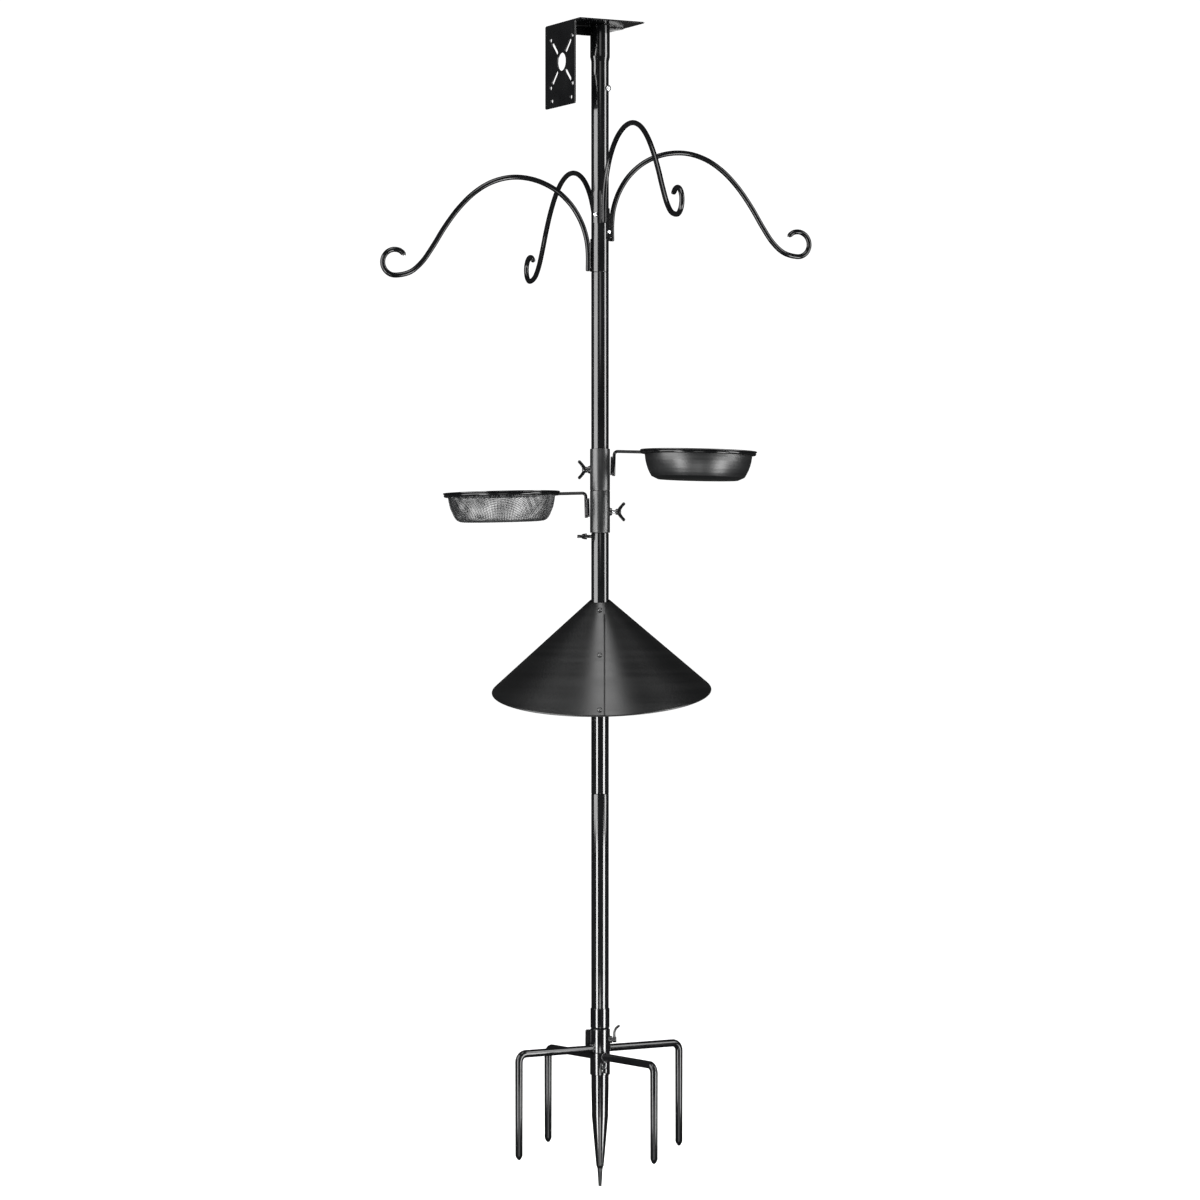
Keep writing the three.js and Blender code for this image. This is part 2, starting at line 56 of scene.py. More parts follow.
# ---- finishes ------------------------------------------------------------------------
class Finish:
    """A material's node tree, with short calls for what the finishes share."""

    def __init__(self, name):
        self.material = bpy.data.materials.new(name)
        self.material.use_nodes = True
        self.nodes = self.material.node_tree.nodes
        self.links = self.material.node_tree.links
        self.shader = self.nodes["Principled BSDF"]
        self.place = self.nodes.new("ShaderNodeTexCoord").outputs["Object"]

    def noise(self, scale, detail=2.0, stretch=(1.0, 1.0, 1.0)):
        mapping = self.nodes.new("ShaderNodeMapping")
        mapping.inputs["Scale"].default_value = stretch
        texture = self.nodes.new("ShaderNodeTexNoise")
        texture.inputs["Scale"].default_value = scale
        texture.inputs["Detail"].default_value = detail
        self.links.new(self.place, mapping.inputs["Vector"])
        self.links.new(mapping.outputs["Vector"], texture.inputs["Vector"])
        return texture.outputs["Fac"]

    def spread(self, value, low_in, high_in, low_out, high_out):
        ramp = self.nodes.new("ShaderNodeMapRange")
        ends = {"From Min": low_in, "From Max": high_in, "To Min": low_out, "To Max": high_out}
        for label, number in ends.items():
            ramp.inputs[label].default_value = number
        self.links.new(value, ramp.inputs["Value"])
        return ramp.outputs["Result"]

    def mix(self, factor, first, second):
        blend = self.nodes.new("ShaderNodeMix")
        blend.data_type = "RGBA"
        self.links.new(factor, blend.inputs[0])
        for socket, colour in ((blend.inputs[6], first), (blend.inputs[7], second)):
            if isinstance(colour, tuple):
                socket.default_value = (*colour, 1.0)
            else:
                self.links.new(colour, socket)
        return blend.outputs[2]

    def bump(self, height, strength, distance, under=None):
        node = self.nodes.new("ShaderNodeBump")
        node.inputs["Strength"].default_value = strength
        node.inputs["Distance"].default_value = distance
        self.links.new(height, node.inputs["Height"])
        if under is not None:
            self.links.new(under, node.inputs["Normal"])
        return node.outputs["Normal"]

    def set(self, label, value):
        if isinstance(value, bpy.types.NodeSocket):
            self.links.new(value, self.shader.inputs[label])
        else:
            self.shader.inputs[label].default_value = value


def powder_coat(name, deep, raised, roughness, peel=0.12, shine=0.6):
    """Baked black powder: a fine orange peel, cloudy gloss and faint rub marks along the tube."""
    finish = Finish(name)
    cloud = finish.noise(22.0, 3.0)
    rubbed = finish.noise(200.0, 2.0, (1.0, 1.0, 0.04))
    marks = finish.spread(rubbed, 0.62, 0.80, 0.0, 1.0)
    colour = finish.mix(finish.spread(cloud, 0.35, 0.65, 0.0, 1.0), deep, raised)
    worn = tuple(1.5 * channel for channel in raised)
    finish.set("Base Color", finish.mix(marks, colour, worn))
    gloss = finish.spread(finish.noise(45.0, 1.0), 0.3, 0.7, roughness - 0.015, roughness + 0.025)
    finish.set("Roughness", gloss)
    peel_height = finish.bump(finish.noise(1100.0, 1.0), peel, 0.008 * MM)
    finish.set("Normal", finish.bump(finish.noise(150.0, 1.0), 0.04, 0.03 * MM, peel_height))
    finish.set("Specular IOR Level", shine)
    return finish.material


def spun_satin(name, deep, raised, roughness):
    """Satin black over spun or rolled sheet: soft rings about the vertical and a fine grain."""
    finish = Finish(name)
    rings = finish.noise(30.0, 5.0, (0.12, 0.12, 5.0))
    cloud = finish.spread(rings, 0.3, 0.7, 0.0, 1.0)
    finish.set("Base Color", finish.mix(cloud, deep, raised))
    finish.set("Roughness", finish.spread(rings, 0.3, 0.7, roughness - 0.025, roughness + 0.03))
    grain = finish.bump(finish.noise(1500.0, 2.0), 0.10, 0.05 * MM)
    finish.set("Normal", finish.bump(finish.noise(26.0, 2.0), 0.06, 0.4 * MM, grain))
    finish.set("Specular IOR Level", 0.5)
    return finish.material


def bright_zinc(name):
    """Bright plated steel with fine turning marks and small dull patches."""
    finish = Finish(name)
    patches = finish.spread(finish.noise(420.0, 4.0), 0.4, 0.7, 0.0, 1.0)
    finish.set("Base Color", finish.mix(patches, (0.86, 0.87, 0.88), (0.62, 0.63, 0.65)))
    finish.set("Metallic", 1.0)
    finish.set("Roughness", finish.spread(patches, 0.0, 1.0, 0.18, 0.36))
    finish.set("Normal", finish.bump(finish.noise(2600.0, 2.0), 0.15, 0.03 * MM))
    return finish.material


DEEP_BLACK, RAISED_BLACK = (0.0018, 0.0019, 0.0021), (0.0032, 0.0033, 0.0035)
COAT = powder_coat("black_powder_coat", DEEP_BLACK, RAISED_BLACK, 0.12)
ROD_COAT = powder_coat("rod_powder_coat", DEEP_BLACK, RAISED_BLACK, 0.12, shine=0.3)
SLEEVE = powder_coat("charcoal_sleeve_coat", (0.0050, 0.0052, 0.0054), (0.0075, 0.0078, 0.0080), 0.30,
                     peel=0.2)
WELD = powder_coat("coated_weld", (0.0040, 0.0040, 0.0045), (0.0060, 0.0060, 0.0065), 0.30, peel=0.35)
BAFFLE_SKIN = spun_satin("satin_sheet", (0.0010, 0.0011, 0.0012), (0.0018, 0.0019, 0.0020), 0.33)
BOWL_SKIN = spun_satin("spun_bowl", (0.0022, 0.0024, 0.0026), (0.0045, 0.0048, 0.0050), 0.38)
WIRE = powder_coat("coated_wire", (0.0060, 0.0065, 0.0070), (0.0100, 0.0105, 0.0110), 0.34)
ZINC = bright_zinc("bright_zinc")


# ---- mesh making ---------------------------------------------------------------------
def outward_faces(mesh):
    """Points every face of a closed mesh outwards."""
    work = bmesh.new()
    work.from_mesh(mesh)
    bmesh.ops.remove_doubles(work, verts=work.verts, dist=0.002 * MM)
    bmesh.ops.recalc_face_normals(work, faces=work.faces)
    work.to_mesh(mesh)
    work.free()


def made(name, points, faces, material, smooth=True):
    """A new object from points and faces, smooth except across its sharp corners."""
    mesh = bpy.data.meshes.new(name)
    mesh.from_pydata([tuple(point) for point in points], [], faces)
    mesh.materials.append(material)
    outward_faces(mesh)
    thing = bpy.data.objects.new(name, mesh)
    bpy.context.scene.collection.objects.link(thing)
    if smooth:
        soften(mesh)
    return thing


def soften(mesh, angle=35.0):
    """Smooth shading, except across corners sharper than the angle."""
    for face in mesh.polygons:
        face.use_smooth = True
    mesh.set_sharp_from_angle(angle=math.radians(angle))


def corner_arc(before, corner, after, radius, steps=3):
    """Points of a small arc that rounds one corner of an outline."""
    corner, before, after = Vector(corner), Vector(before), Vector(after)
    into, out = (before - corner), (after - corner)
    reach = min(radius, 0.45 * into.length, 0.45 * out.length)
    start, end = corner + into.normalized() * reach, corner + out.normalized() * reach
    points = []
    for step in range(steps + 1):
        t = step / steps
        points.append(((1 - t) ** 2) * start + 2 * t * (1 - t) * corner + (t ** 2) * end)
    return points


def eased(outline, radius):
    """A closed outline with each of its corners off the axis rounded."""
    points = []
    for index, corner in enumerate(outline):
        before, after = outline[index - 1], outline[(index + 1) % len(outline)]
        if corner[0] < 1e-6 or radius <= 0:
            points.append(Vector(corner))
        else:
            points.extend(corner_arc(before, corner, after, radius))
    return points


def turned(name, outline, material, ease=0.3 * MM, sides=ROUND):
    """Revolves a closed outline of (radius, height) about +Z."""
    profile = eased(outline, ease)
    count = len(profile)
    points = []
    for side in range(sides):
        angle = 2 * math.pi * side / sides
        points += [(p[0] * math.cos(angle), p[0] * math.sin(angle), p[1]) for p in profile]
    faces = []
    for side in range(sides):
        here, there = side * count, ((side + 1) % sides) * count
        for index in range(count):
            following = (index + 1) % count
            if profile[index][0] < 1e-9 and profile[following][0] < 1e-9:
                continue
            faces.append((here + index, there + index, there + following, here + following))
    return made(name, points, faces, material)


def placed(thing, matrix):
    """Moves a piece's mesh, and leaves its object at the origin."""
    thing.data.transform(matrix)
    return thing


def joined(name, things):
    """Puts several meshes into one object, each with its own material."""
    bpy.ops.object.select_all(action="DESELECT")
    for thing in things:
        thing.select_set(True)
    bpy.context.view_layer.objects.active = things[0]
    bpy.ops.object.join()
    things[0].name = name
    things[0].data.name = name
    return things[0]


def facing_out(angle, radius, height):
    """The place of a piece made along +Z that points outwards from the pole."""
    return (Matrix.Translation((0, 0, height)) @ Matrix.Rotation(math.radians(angle), 4, "Z")
            @ Matrix.Translation((radius, 0, 0)) @ Matrix.Rotation(math.radians(90), 4, "Y"))


def finished(thing, body, slot, *nodes):
    """Hands a finished piece to the frame: its body and the nodes it stands for. The slot argument is not
    used.
    """
    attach(thing, body)
    if nodes:
        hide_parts(*nodes)
    return thing


# ---- geometry node trees -------------------------------------------------------------
def new_tree(name, inputs):
    """An empty tree that takes geometry and a few named inputs, and gives geometry."""
    tree = bpy.data.node_groups.new(name, "GeometryNodeTree")
    tree.interface.new_socket("Geometry", in_out="INPUT", socket_type="NodeSocketGeometry")
    for label, kind in inputs:
        tree.interface.new_socket(label, in_out="INPUT", socket_type=kind)
    tree.interface.new_socket("Geometry", in_out="OUTPUT", socket_type="NodeSocketGeometry")
    return tree, tree.nodes.new("NodeGroupInput"), tree.nodes.new("NodeGroupOutput")


def end_tree(tree, given, result, shaded):
    """Realize Instances, then Set Material, then out."""
    realize = tree.nodes.new("GeometryNodeRealizeInstances")
    paint = tree.nodes.new("GeometryNodeSetMaterial")
    tree.links.new(shaded, realize.inputs["Geometry"])
    tree.links.new(realize.outputs["Geometry"], paint.inputs["Geometry"])
    tree.links.new(given.outputs["Finish"], paint.inputs["Material"])
    tree.links.new(paint.outputs["Geometry"], result.inputs["Geometry"])


def named_number(tree, name):
    """A number that the points of the mesh carry under a name."""
    node = tree.nodes.new("GeometryNodeInputNamedAttribute")
    node.data_type = "FLOAT"
    node.inputs["Name"].default_value = name
    return node.outputs["Attribute"]


def rod_tree():
    """Round bar along every line of the given mesh, as thick as its points say."""
    inputs = [("Sides", "NodeSocketInt"), ("Finish", "NodeSocketMaterial")]
    tree, given, result = new_tree("rod_along_lines", inputs)
    line = tree.nodes.new("GeometryNodeMeshToCurve")
    radius = tree.nodes.new("GeometryNodeSetCurveRadius")
    section = tree.nodes.new("GeometryNodeCurvePrimitiveCircle")
    section.inputs["Radius"].default_value = 1.0
    sweep = tree.nodes.new("GeometryNodeCurveToMesh")
    sweep.inputs["Fill Caps"].default_value = True
    tree.links.new(given.outputs["Geometry"], line.inputs["Mesh"])
    tree.links.new(line.outputs["Curve"], radius.inputs["Curve"])
    tree.links.new(named_number(tree, "thickness"), radius.inputs["Radius"])
    tree.links.new(radius.outputs["Curve"], sweep.inputs["Curve"])
    tree.links.new(given.outputs["Sides"], section.inputs["Resolution"])
    tree.links.new(section.outputs["Curve"], sweep.inputs["Profile Curve"])
    if "Scale" in sweep.inputs:
        tree.links.new(named_number(tree, "thickness"), sweep.inputs["Scale"])
    end_tree(tree, given, result, sweep.outputs["Mesh"])
    return tree


def fixing_tree():
    """One copy of a fixing on every point, turned to the point's own direction."""
    inputs = [("Fixing", "NodeSocketObject"), ("Finish", "NodeSocketMaterial")]
    tree, given, result = new_tree("fixings_on_points", inputs)
    shape = tree.nodes.new("GeometryNodeObjectInfo")
    points = tree.nodes.new("GeometryNodeInstanceOnPoints")
    facing = tree.nodes.new("FunctionNodeAlignRotationToVector")
    facing.axis = "Z"
    size = named_number(tree, "size")
    direction = tree.nodes.new("GeometryNodeInputNamedAttribute")
    direction.data_type = "FLOAT_VECTOR"
    direction.inputs["Name"].default_value = "facing"
    tree.links.new(direction.outputs["Attribute"], facing.inputs["Vector"])
    tree.links.new(given.outputs["Fixing"], shape.inputs["Object"])
    tree.links.new(given.outputs["Geometry"], points.inputs["Points"])
    tree.links.new(shape.outputs["Geometry"], points.inputs["Instance"])
    tree.links.new(facing.outputs["Rotation"], points.inputs["Rotation"])
    tree.links.new(size, points.inputs["Scale"])
    end_tree(tree, given, result, points.outputs["Instances"])
    return tree


ROD_TREE = rod_tree()
FIXING_TREE = fixing_tree()


def through_tree(name, base, tree, **inputs):
    """Runs a tree on a base mesh and keeps the result as a plain mesh."""
    source = bpy.data.objects.new(name + "_source", base)
    bpy.context.scene.collection.objects.link(source)
    modifier = source.modifiers.new(tree.name, "NODES")
    modifier.node_group = tree
    for item in tree.interface.items_tree:
        if item.in_out == "INPUT" and item.name in inputs:
            modifier[item.identifier] = inputs[item.name]
    bpy.context.view_layer.update()
    graph = bpy.context.evaluated_depsgraph_get()
    mesh = bpy.data.meshes.new_from_object(source.evaluated_get(graph))
    mesh.name = name
    bpy.data.objects.remove(source)
    thing = bpy.data.objects.new(name, mesh)
    bpy.context.scene.collection.objects.link(thing)
    soften(mesh)
    return thing


def line_mesh(name, lines):
    """Separate lines of (point, thickness) as one mesh of edges."""
    points, edges, thickness = [], [], []
    for line in lines:
        first = len(points)
        points += [tuple(point) for point, _ in line]
        thickness += [radius for _, radius in line]
        edges += [(first + index, first + index + 1) for index in range(len(line) - 1)]
    mesh = bpy.data.meshes.new(name)
    mesh.from_pydata(points, edges, [])
    attribute = mesh.attributes.new("thickness", "FLOAT", "POINT")
    attribute.data.foreach_set("value", thickness)
    return mesh


def rods(name, lines, material, sides=24):
    """Round bar along several lines, as one piece."""
    return through_tree(name, line_mesh(name + "_lines", lines), ROD_TREE, Sides=sides, Finish=material)


def even(points, radius, tip=0.35, ends=(True, True)):
    """A rod of one thickness whose cut ends are slightly rounded."""
    line = [(Vector(point), radius) for point in points]
    edge = tip * radius
    for at_start in (True, False):
        if not ends[0 if at_start else 1]:
            continue
        end, beside = (line[0][0], line[1][0]) if at_start else (line[-1][0], line[-2][0])
        inward = (beside - end).normalized()
        chamfer = [(end, radius - edge), (end + inward * edge * 0.35, radius - 0.35 * edge),
                   (end + inward * edge, radius)]
        line = chamfer + line[1:] if at_start else line[:-1] + chamfer[::-1]
    return line


def rounded_path(corners, radius, steps=12):
    """A polyline whose inner corners are true arcs."""
    corners = [Vector(corner) for corner in corners]
    points = [corners[0]]
    for before, corner, after in zip(corners, corners[1:], corners[2:]):
        into, out = (before - corner).normalized(), (after - corner).normalized()
        half = into.angle(out) / 2
        start = corner + into * (radius / math.tan(half))
        centre = corner + (into + out).normalized() * (radius / math.sin(half))
        axis = (start - centre).cross(-into).normalized()
        for step in range(steps + 1):
            turn = Matrix.Rotation((math.pi - 2 * half) * step / steps, 3, axis)
            points.append(centre + turn @ (start - centre))
    points.append(corners[-1])
    return points


def around(angle):
    """A turn about the pole."""
    return Matrix.Rotation(math.radians(angle), 4, "Z")


def flat_piece(name, outline, holes, thickness, material, ease=0.35 * MM):
    """A sheet cut to an outline in X and Y, with round-edged holes, and its middle at z = 0."""
    drawing = bpy.data.curves.new(name, "CURVE")
    drawing.dimensions, drawing.fill_mode = "2D", "BOTH"
    drawing.extrude, drawing.bevel_depth, drawing.bevel_resolution = thickness / 2 - ease, ease, 2
    drawing.offset = -ease
    for loop in [outline, *holes]:
        spline = drawing.splines.new("POLY")
        spline.points.add(len(loop) - 1)
        for point, (x, y) in zip(spline.points, loop):
            point.co = (x, y, 0.0, 1.0)
        spline.use_cyclic_u = True
    drawn = bpy.data.objects.new(name + "_drawing", drawing)
    bpy.context.scene.collection.objects.link(drawn)
    bpy.context.view_layer.update()
    mesh = bpy.data.meshes.new_from_object(drawn.evaluated_get(bpy.context.evaluated_depsgraph_get()))
    bpy.data.objects.remove(drawn)
    mesh.name = name
    mesh.materials.clear()
    mesh.materials.append(material)
    outward_faces(mesh)
    soften(mesh, 50.0)
    thing = bpy.data.objects.new(name, mesh)
    bpy.context.scene.collection.objects.link(thing)
    return thing


def ring_points(x, y, radius, count=40, start=0.0, sweep=360.0):
    """Points of a circle, or of part of one."""
    last = count if sweep == 360.0 else count - 1
    angles = [math.radians(start + sweep * step / last) for step in range(count)]
    return [(x + radius * math.cos(a), y + radius * math.sin(a)) for a in angles]


def rounded_corners(x0, x1, y0, y1, radius):
    """A rectangle with round corners."""
    corners = ((x1, y0, 270), (x1, y1, 0), (x0, y1, 90), (x0, y0, 180))
    points = []
    for x, y, start in corners:
        inward = (x - radius if x == x1 else x + radius, y - radius if y == y1 else y + radius)
        points += ring_points(*inward, radius, 8, start, 90.0)
    return points


def bead(points, thickness, ripple=0.18):
    """A weld bead along points, with the small waves that a hand weld leaves."""
    line = []
    for index, point in enumerate(points):
        wave = 1.0 + ripple * math.sin(2.4 * index) + 0.5 * ripple * math.sin(1.1 * index)
        line.append((Vector(point), thickness * wave))
    line[0] = (line[0][0], 0.35 * thickness)
    line[-1] = (line[-1][0], 0.35 * thickness)
    return line


def moved(points, matrix):
    """The same points in another place."""
    return [matrix @ Vector(point) for point in points]


# ---- tube ends, bosses and collars ---------------------------------------------------
def in_metres(outline):
    """An outline given in millimetres."""
    return [(r * MM, z * MM) for r, z in outline]


def tube_outline(outer, inner, low, high):
    """Half of a plain tube's section."""
    return [(inner, low), (outer, low), (outer, high), (inner, high)]


def boss(name, angle, radius, height):
    """A welded nut boss: a short turned ring with a shallow countersink."""
    outline = [(2.7 * MM, -0.8 * MM), (BOSS_R, -0.8 * MM), (BOSS_R, BOSS_OUT), (3.3 * MM, BOSS_OUT),
               (2.7 * MM, BOSS_OUT - 0.6 * MM)]
    ring = turned(name, outline, COAT, 0.4 * MM, 48)
    return placed(ring, facing_out(angle, radius, height))


def boss_weld(angle, radius, height):
    """The bead that runs round the foot of a boss."""
    place = facing_out(angle, radius, height)
    loop = []
    for x, y in ring_points(0.0, 0.0, BOSS_R + 0.1 * MM, 48):
        sink = radius - math.sqrt(radius ** 2 - y ** 2)
        loop.append((x, y, 0.1 * MM - sink))
    return bead(moved(loop, place), 0.65 * MM)


# ---- ground stake and prongs ---------------------------------------------------------
STAKE_POINT = [(0.0, -185.0), (2.4, -185.0), (4.0, -159.0), (5.6, -155.0), (11.9, -84.0)]
STAKE_TUBE = [(12.7, -40.0), (12.7, 43.6), (13.9, 45.6), (13.9, 73.0)]
STAKE_BORE = [(13.0, 73.0), (13.0, 46.6), (10.7, 46.6), (10.7, -20.0), (0.0, -20.0)]
PRONG_REACH = 139.0 * MM
PRONG_BEND = 11.5 * MM
PRONG_FOOT = -130.0 * MM
PRONG_POINT = ((0.0, 0.97), (2.2, 0.82), (4.6, 0.58), (6.2, 0.38), (7.0, 0.12))
PRONG_PAIRS = {
    "upper": {"bar": 14.8 * MM, "low": 9.2 * MM, "high": 43.0 * MM, "weld_from": -47.0,
              "angles": {"front_left": 213.5, "back_right": 33.5}},
    "lower": {"bar": 3.2 * MM, "low": -23.0 * MM, "high": 8.8 * MM, "weld_from": 133.0,
              "angles": {"front_right": 303.5, "back_left": 123.5}},
}
WELD_SWEEP = 274.0
EAR = {"near": -13.3 * MM, "far": -21.5 * MM, "thickness": 7.6 * MM, "low": 18.3 * MM, "high": 42.0 * MM}
LEVER_ANGLE, LEVER_Z = 0.0, 27.5 * MM
PAD_ANGLE, PAD_Z, PAD_OUT = 290.0, -12.0 * MM, 1.6 * MM


def ground_stake():
    """The forged point, the stake tube and the cup that takes the pole."""
    outline = in_metres([*STAKE_POINT, *STAKE_TUBE, *STAKE_BORE])
    stake = turned("ground_stake_turned", outline, COAT, 0.45 * MM)
    finished(stake, POLE_BODY, "powder_coat", "ground_stake")


def prong_line(angle, height):
    """A prong: out level from its collar, round a bend, down, and drawn to a point."""
    corners = [(14.6 * MM, 0, height), (PRONG_REACH, 0, height), (PRONG_REACH, 0, PRONG_FOOT)]
    path = rounded_path(corners, PRONG_BEND, 16)
    line = [(point, PRONG_ROD_R) for point in path[:-1]]
    for down, part in PRONG_POINT:
        line.append((Vector((PRONG_REACH, 0, PRONG_FOOT - down * MM)), PRONG_ROD_R * part))
    turn = around(angle)
    return [(turn @ point, radius) for point, radius in line]


def prong_weld(angle, height, start):
    """The fillet weld round a prong at its collar, left open where the two collars meet."""
    points = []
    for x, y in ring_points(0.0, 0.0, PRONG_ROD_R + 0.3 * MM, 46, start, WELD_SWEEP):
        reach = math.sqrt(max(COLLAR_R ** 2 - x ** 2, 0.0)) + 0.35 * MM
        points.append((reach, x, height + y))
    return bead(moved(points, around(angle)), 1.15 * MM)


def prong_collar(level, pair, body):
    """A collar on the stake: the upper has the clamp's ear and boss, the lower a pad for its screw."""
    outline = tube_outline(COLLAR_R, COLLAR_BORE, pair["low"], pair["high"])
    things = [turned(f"prong_collar_{level}_ring", outline, COAT, 0.5 * MM)]
    if level == "upper":
        things += [clamp_ear(), boss("clamp_boss", LEVER_ANGLE, COLLAR_R, LEVER_Z)]
    else:
        things.append(screw_pad())
    collar = joined(f"prong_collar_{level}_fabricated", things)
    finished(collar, body, "powder_coat", f"prong_collar_{level}")


def screw_pad():
    """The flat pad on the lower collar that the round screw passes through."""
    outline = rounded_corners(-8 * MM, 8 * MM, -4.5 * MM, 4.5 * MM, 1.6 * MM)
    pad = flat_piece("collar_pad", outline, [ring_points(0, 0, 2.4 * MM, 32)], 2.9 * MM, COAT)
    return placed(pad, facing_out(PAD_ANGLE, COLLAR_R + 0.15 * MM, PAD_Z))


def clamp_ear():
    """The upper collar's flat ear, with its corners rounded."""
    outline = rounded_corners(EAR["far"], EAR["near"], EAR["low"], EAR["high"], 2.6 * MM)
    ear = flat_piece("clamp_ear", outline, [], EAR["thickness"], COAT, 0.7 * MM)
    return placed(ear, Matrix.Rotation(math.radians(90), 4, "X"))


def prong_pair(level, pair, body):
    """Two opposite prongs and the welds that hold them to their collar."""
    lines = [prong_line(angle, pair["bar"]) for angle in pair["angles"].values()]
    bars = rods(f"prongs_{level}", lines, ROD_COAT, 28)
    finished(bars, body, "powder_coat", *[f"prong_{name}" for name in pair["angles"]])
    welds = [prong_weld(angle, pair["bar"], pair["weld_from"]) for angle in pair["angles"].values()]
    if level == "upper":
        welds.append(boss_weld(LEVER_ANGLE, COLLAR_R, LEVER_Z))
    finished(rods(f"prong_welds_{level}", welds, WELD, 10), body, "powder_coat")


def clamp_lever():
    """A turned hub on the clamp screw, and one forged bar that sweeps up and out for the thumb."""
    place = facing_out(LEVER_ANGLE, COLLAR_R, LEVER_Z)
    hub_outline = [(0, 3.5), (3.6, 3.5), (4.2, 4.1), (4.2, 8.4), (3.4, 9.5), (0, 9.5)]
    hub = placed(turned("lever_hub", in_metres(hub_outline), COAT, 0.4 * MM, 48), place)
    thread = thread_outline(2.3 * MM, -1.2 * MM, 3.9 * MM)
    shank = placed(turned("lever_screw", thread, ZINC, 0.0, 40), place)
    rise = [(1, 6.6, 2.2), (5, 6.3, 2.1), (8, 6.2, 1.95), (11, 6.5, 1.9), (14, 7.4, 1.9), (16.4, 8.8, 1.9),
            (18.4, 10.8, 1.9), (20.2, 13.4, 1.7)]
    line = [(place @ (Vector((-up, 0, out)) * MM), radius * MM) for up, out, radius in rise]
    tip = line[-1][0] + (line[-1][0] - line[-2][0]).normalized() * 0.8 * MM
    wing = rods("lever_bar", [line + [(tip, 0.9 * MM)]], COAT, 24)
    finished(joined("clamp_lever_forged", [hub, wing]), "clamp_lever", "powder_coat", "clamp_lever")
    finished(shank, "clamp_lever", "zinc")


def thread_outline(radius, low, high, pitch=0.8 * MM):
    """A closed outline whose outer side has the ridges of a coarse thread."""
    outline = [(0.0, low), (radius - 0.25 * MM, low)]
    turns = max(int((high - low) / pitch), 1)
    for turn in range(turns):
        base = low + (high - low) * turn / turns
        step = (high - low) / turns
        outline += [(radius, base + 0.5 * step), (radius - 0.25 * MM, base + step)]
    outline.append((0.0, high))
    return outline


def ground_parts():
    ground_stake()
    prong_collar("lower", PRONG_PAIRS["lower"], POLE_BODY)
    prong_collar("upper", PRONG_PAIRS["upper"], "prong_swing")
    prong_pair("lower", PRONG_PAIRS["lower"], POLE_BODY)
    prong_pair("upper", PRONG_PAIRS["upper"], "prong_swing")
    clamp_lever()


# ---- pole ----------------------------------------------------------------------------
# Its outlines are in millimetres.
SECTION_FEET = (47.0, 384.0, 762.0, 1140.0)
POLE_TOP = 1497.4
SECTION_GAP = 0.3
SECTION_R, SECTION_BORE = 12.7, 11.5
REDUCED_R, REDUCED_BORE, REDUCED_LENGTH = 11.2, 10.0, 38.0
FLARE_R, FLARE_BORE, FLARE_Z, FLARE_TAPER = 14.3, 13.1, 1452.0, 7.0


def section_outline(index):
    """One pole section: a reduced end below, the full tube above, and a swelled end at the very top."""
    low = SECTION_FEET[index]
    top = index == len(SECTION_FEET) - 1
    high = POLE_TOP if top else SECTION_FEET[index + 1] - SECTION_GAP
    if index == 0:
        outline = [(SECTION_BORE, low), (SECTION_R, low)]
    else:
        foot = low - REDUCED_LENGTH
        outline = [(REDUCED_BORE, foot), (REDUCED_R, foot), (REDUCED_R, low), (SECTION_R, low)]
    if top:
        outline += [(SECTION_R, FLARE_Z - FLARE_TAPER), (FLARE_R, FLARE_Z), (FLARE_R, high)]
        outline += [(FLARE_BORE, high), (FLARE_BORE, FLARE_Z), (SECTION_BORE, FLARE_Z - FLARE_TAPER)]
    else:
        outline += [(SECTION_R, high), (SECTION_BORE, high)]
    if index > 0:
        outline += [(SECTION_BORE, low + 6), (REDUCED_BORE, low + 2)]
    return in_metres(outline)


def pole():
    """Four tube sections, each plugged into the one below it."""
    for index in range(len(SECTION_FEET)):
        name = f"pole_section_{index + 1}"
        section = turned(name + "_tube", section_outline(index), COAT, 0.55 * MM)
        finished(section, POLE_BODY, "powder_coat", name)


# ---- shepherd hooks ------------------------------------------------------------------
HOOK_ARMS = {
    "left": (200.0, 1141.0),
    "back": (110.0, 1163.6),
    "right": (20.0, 1185.4),
    "front": (290.0, 1210.0),
}
ARCH = [(18.2, 0), (18.2, 26), (21, 48), (30, 73), (46, 97), (70, 117), (101, 129.5), (134, 132), (165, 124),
        (192, 107.5), (216, 84), (237, 56), (254, 29), (271, 5.5), (288, -8.5)]
CURL_R, CURL_X, CURL_Z = 18.4, 310.5, 4.6
CURL_FROM, CURL_TO = -100, 140
SADDLE_FROM, SADDLE_TO, SADDLE_TALL = -64.0, 18.0, 47.0 * MM
SADDLE_IN, SADDLE_OUT = 13.0 * MM, 14.15 * MM
SADDLE_SCREW_ANGLE, SADDLE_SCREW_Z = -46.0, 12.5 * MM


def smooth_curve(points, steps):
    """A centripetal Catmull-Rom curve through points."""
    points = [Vector(point) for point in points]
    padded = [2 * points[0] - points[1], *points, 2 * points[-1] - points[-2]]
    result = []
    for a, b, c, d in zip(padded, padded[1:], padded[2:], padded[3:]):
        k1 = (b - a).length ** 0.5
        k2 = k1 + (c - b).length ** 0.5
        k3 = k2 + (d - c).length ** 0.5
        for step in range(steps):
            t = k1 + (k2 - k1) * step / steps
            one = a * ((k1 - t) / k1) + b * (t / k1)
            two = b * ((k2 - t) / (k2 - k1)) + c * ((t - k1) / (k2 - k1))
            three = c * ((k3 - t) / (k3 - k2)) + d * ((t - k2) / (k3 - k2))
            four = one * ((k2 - t) / k2) + two * (t / k2)
            five = two * ((k3 - t) / (k3 - k1)) + three * ((t - k1) / (k3 - k1))
            result.append(four * ((k2 - t) / (k2 - k1)) + five * ((t - k1) / (k2 - k1)))
    result.append(points[-1])
    return result


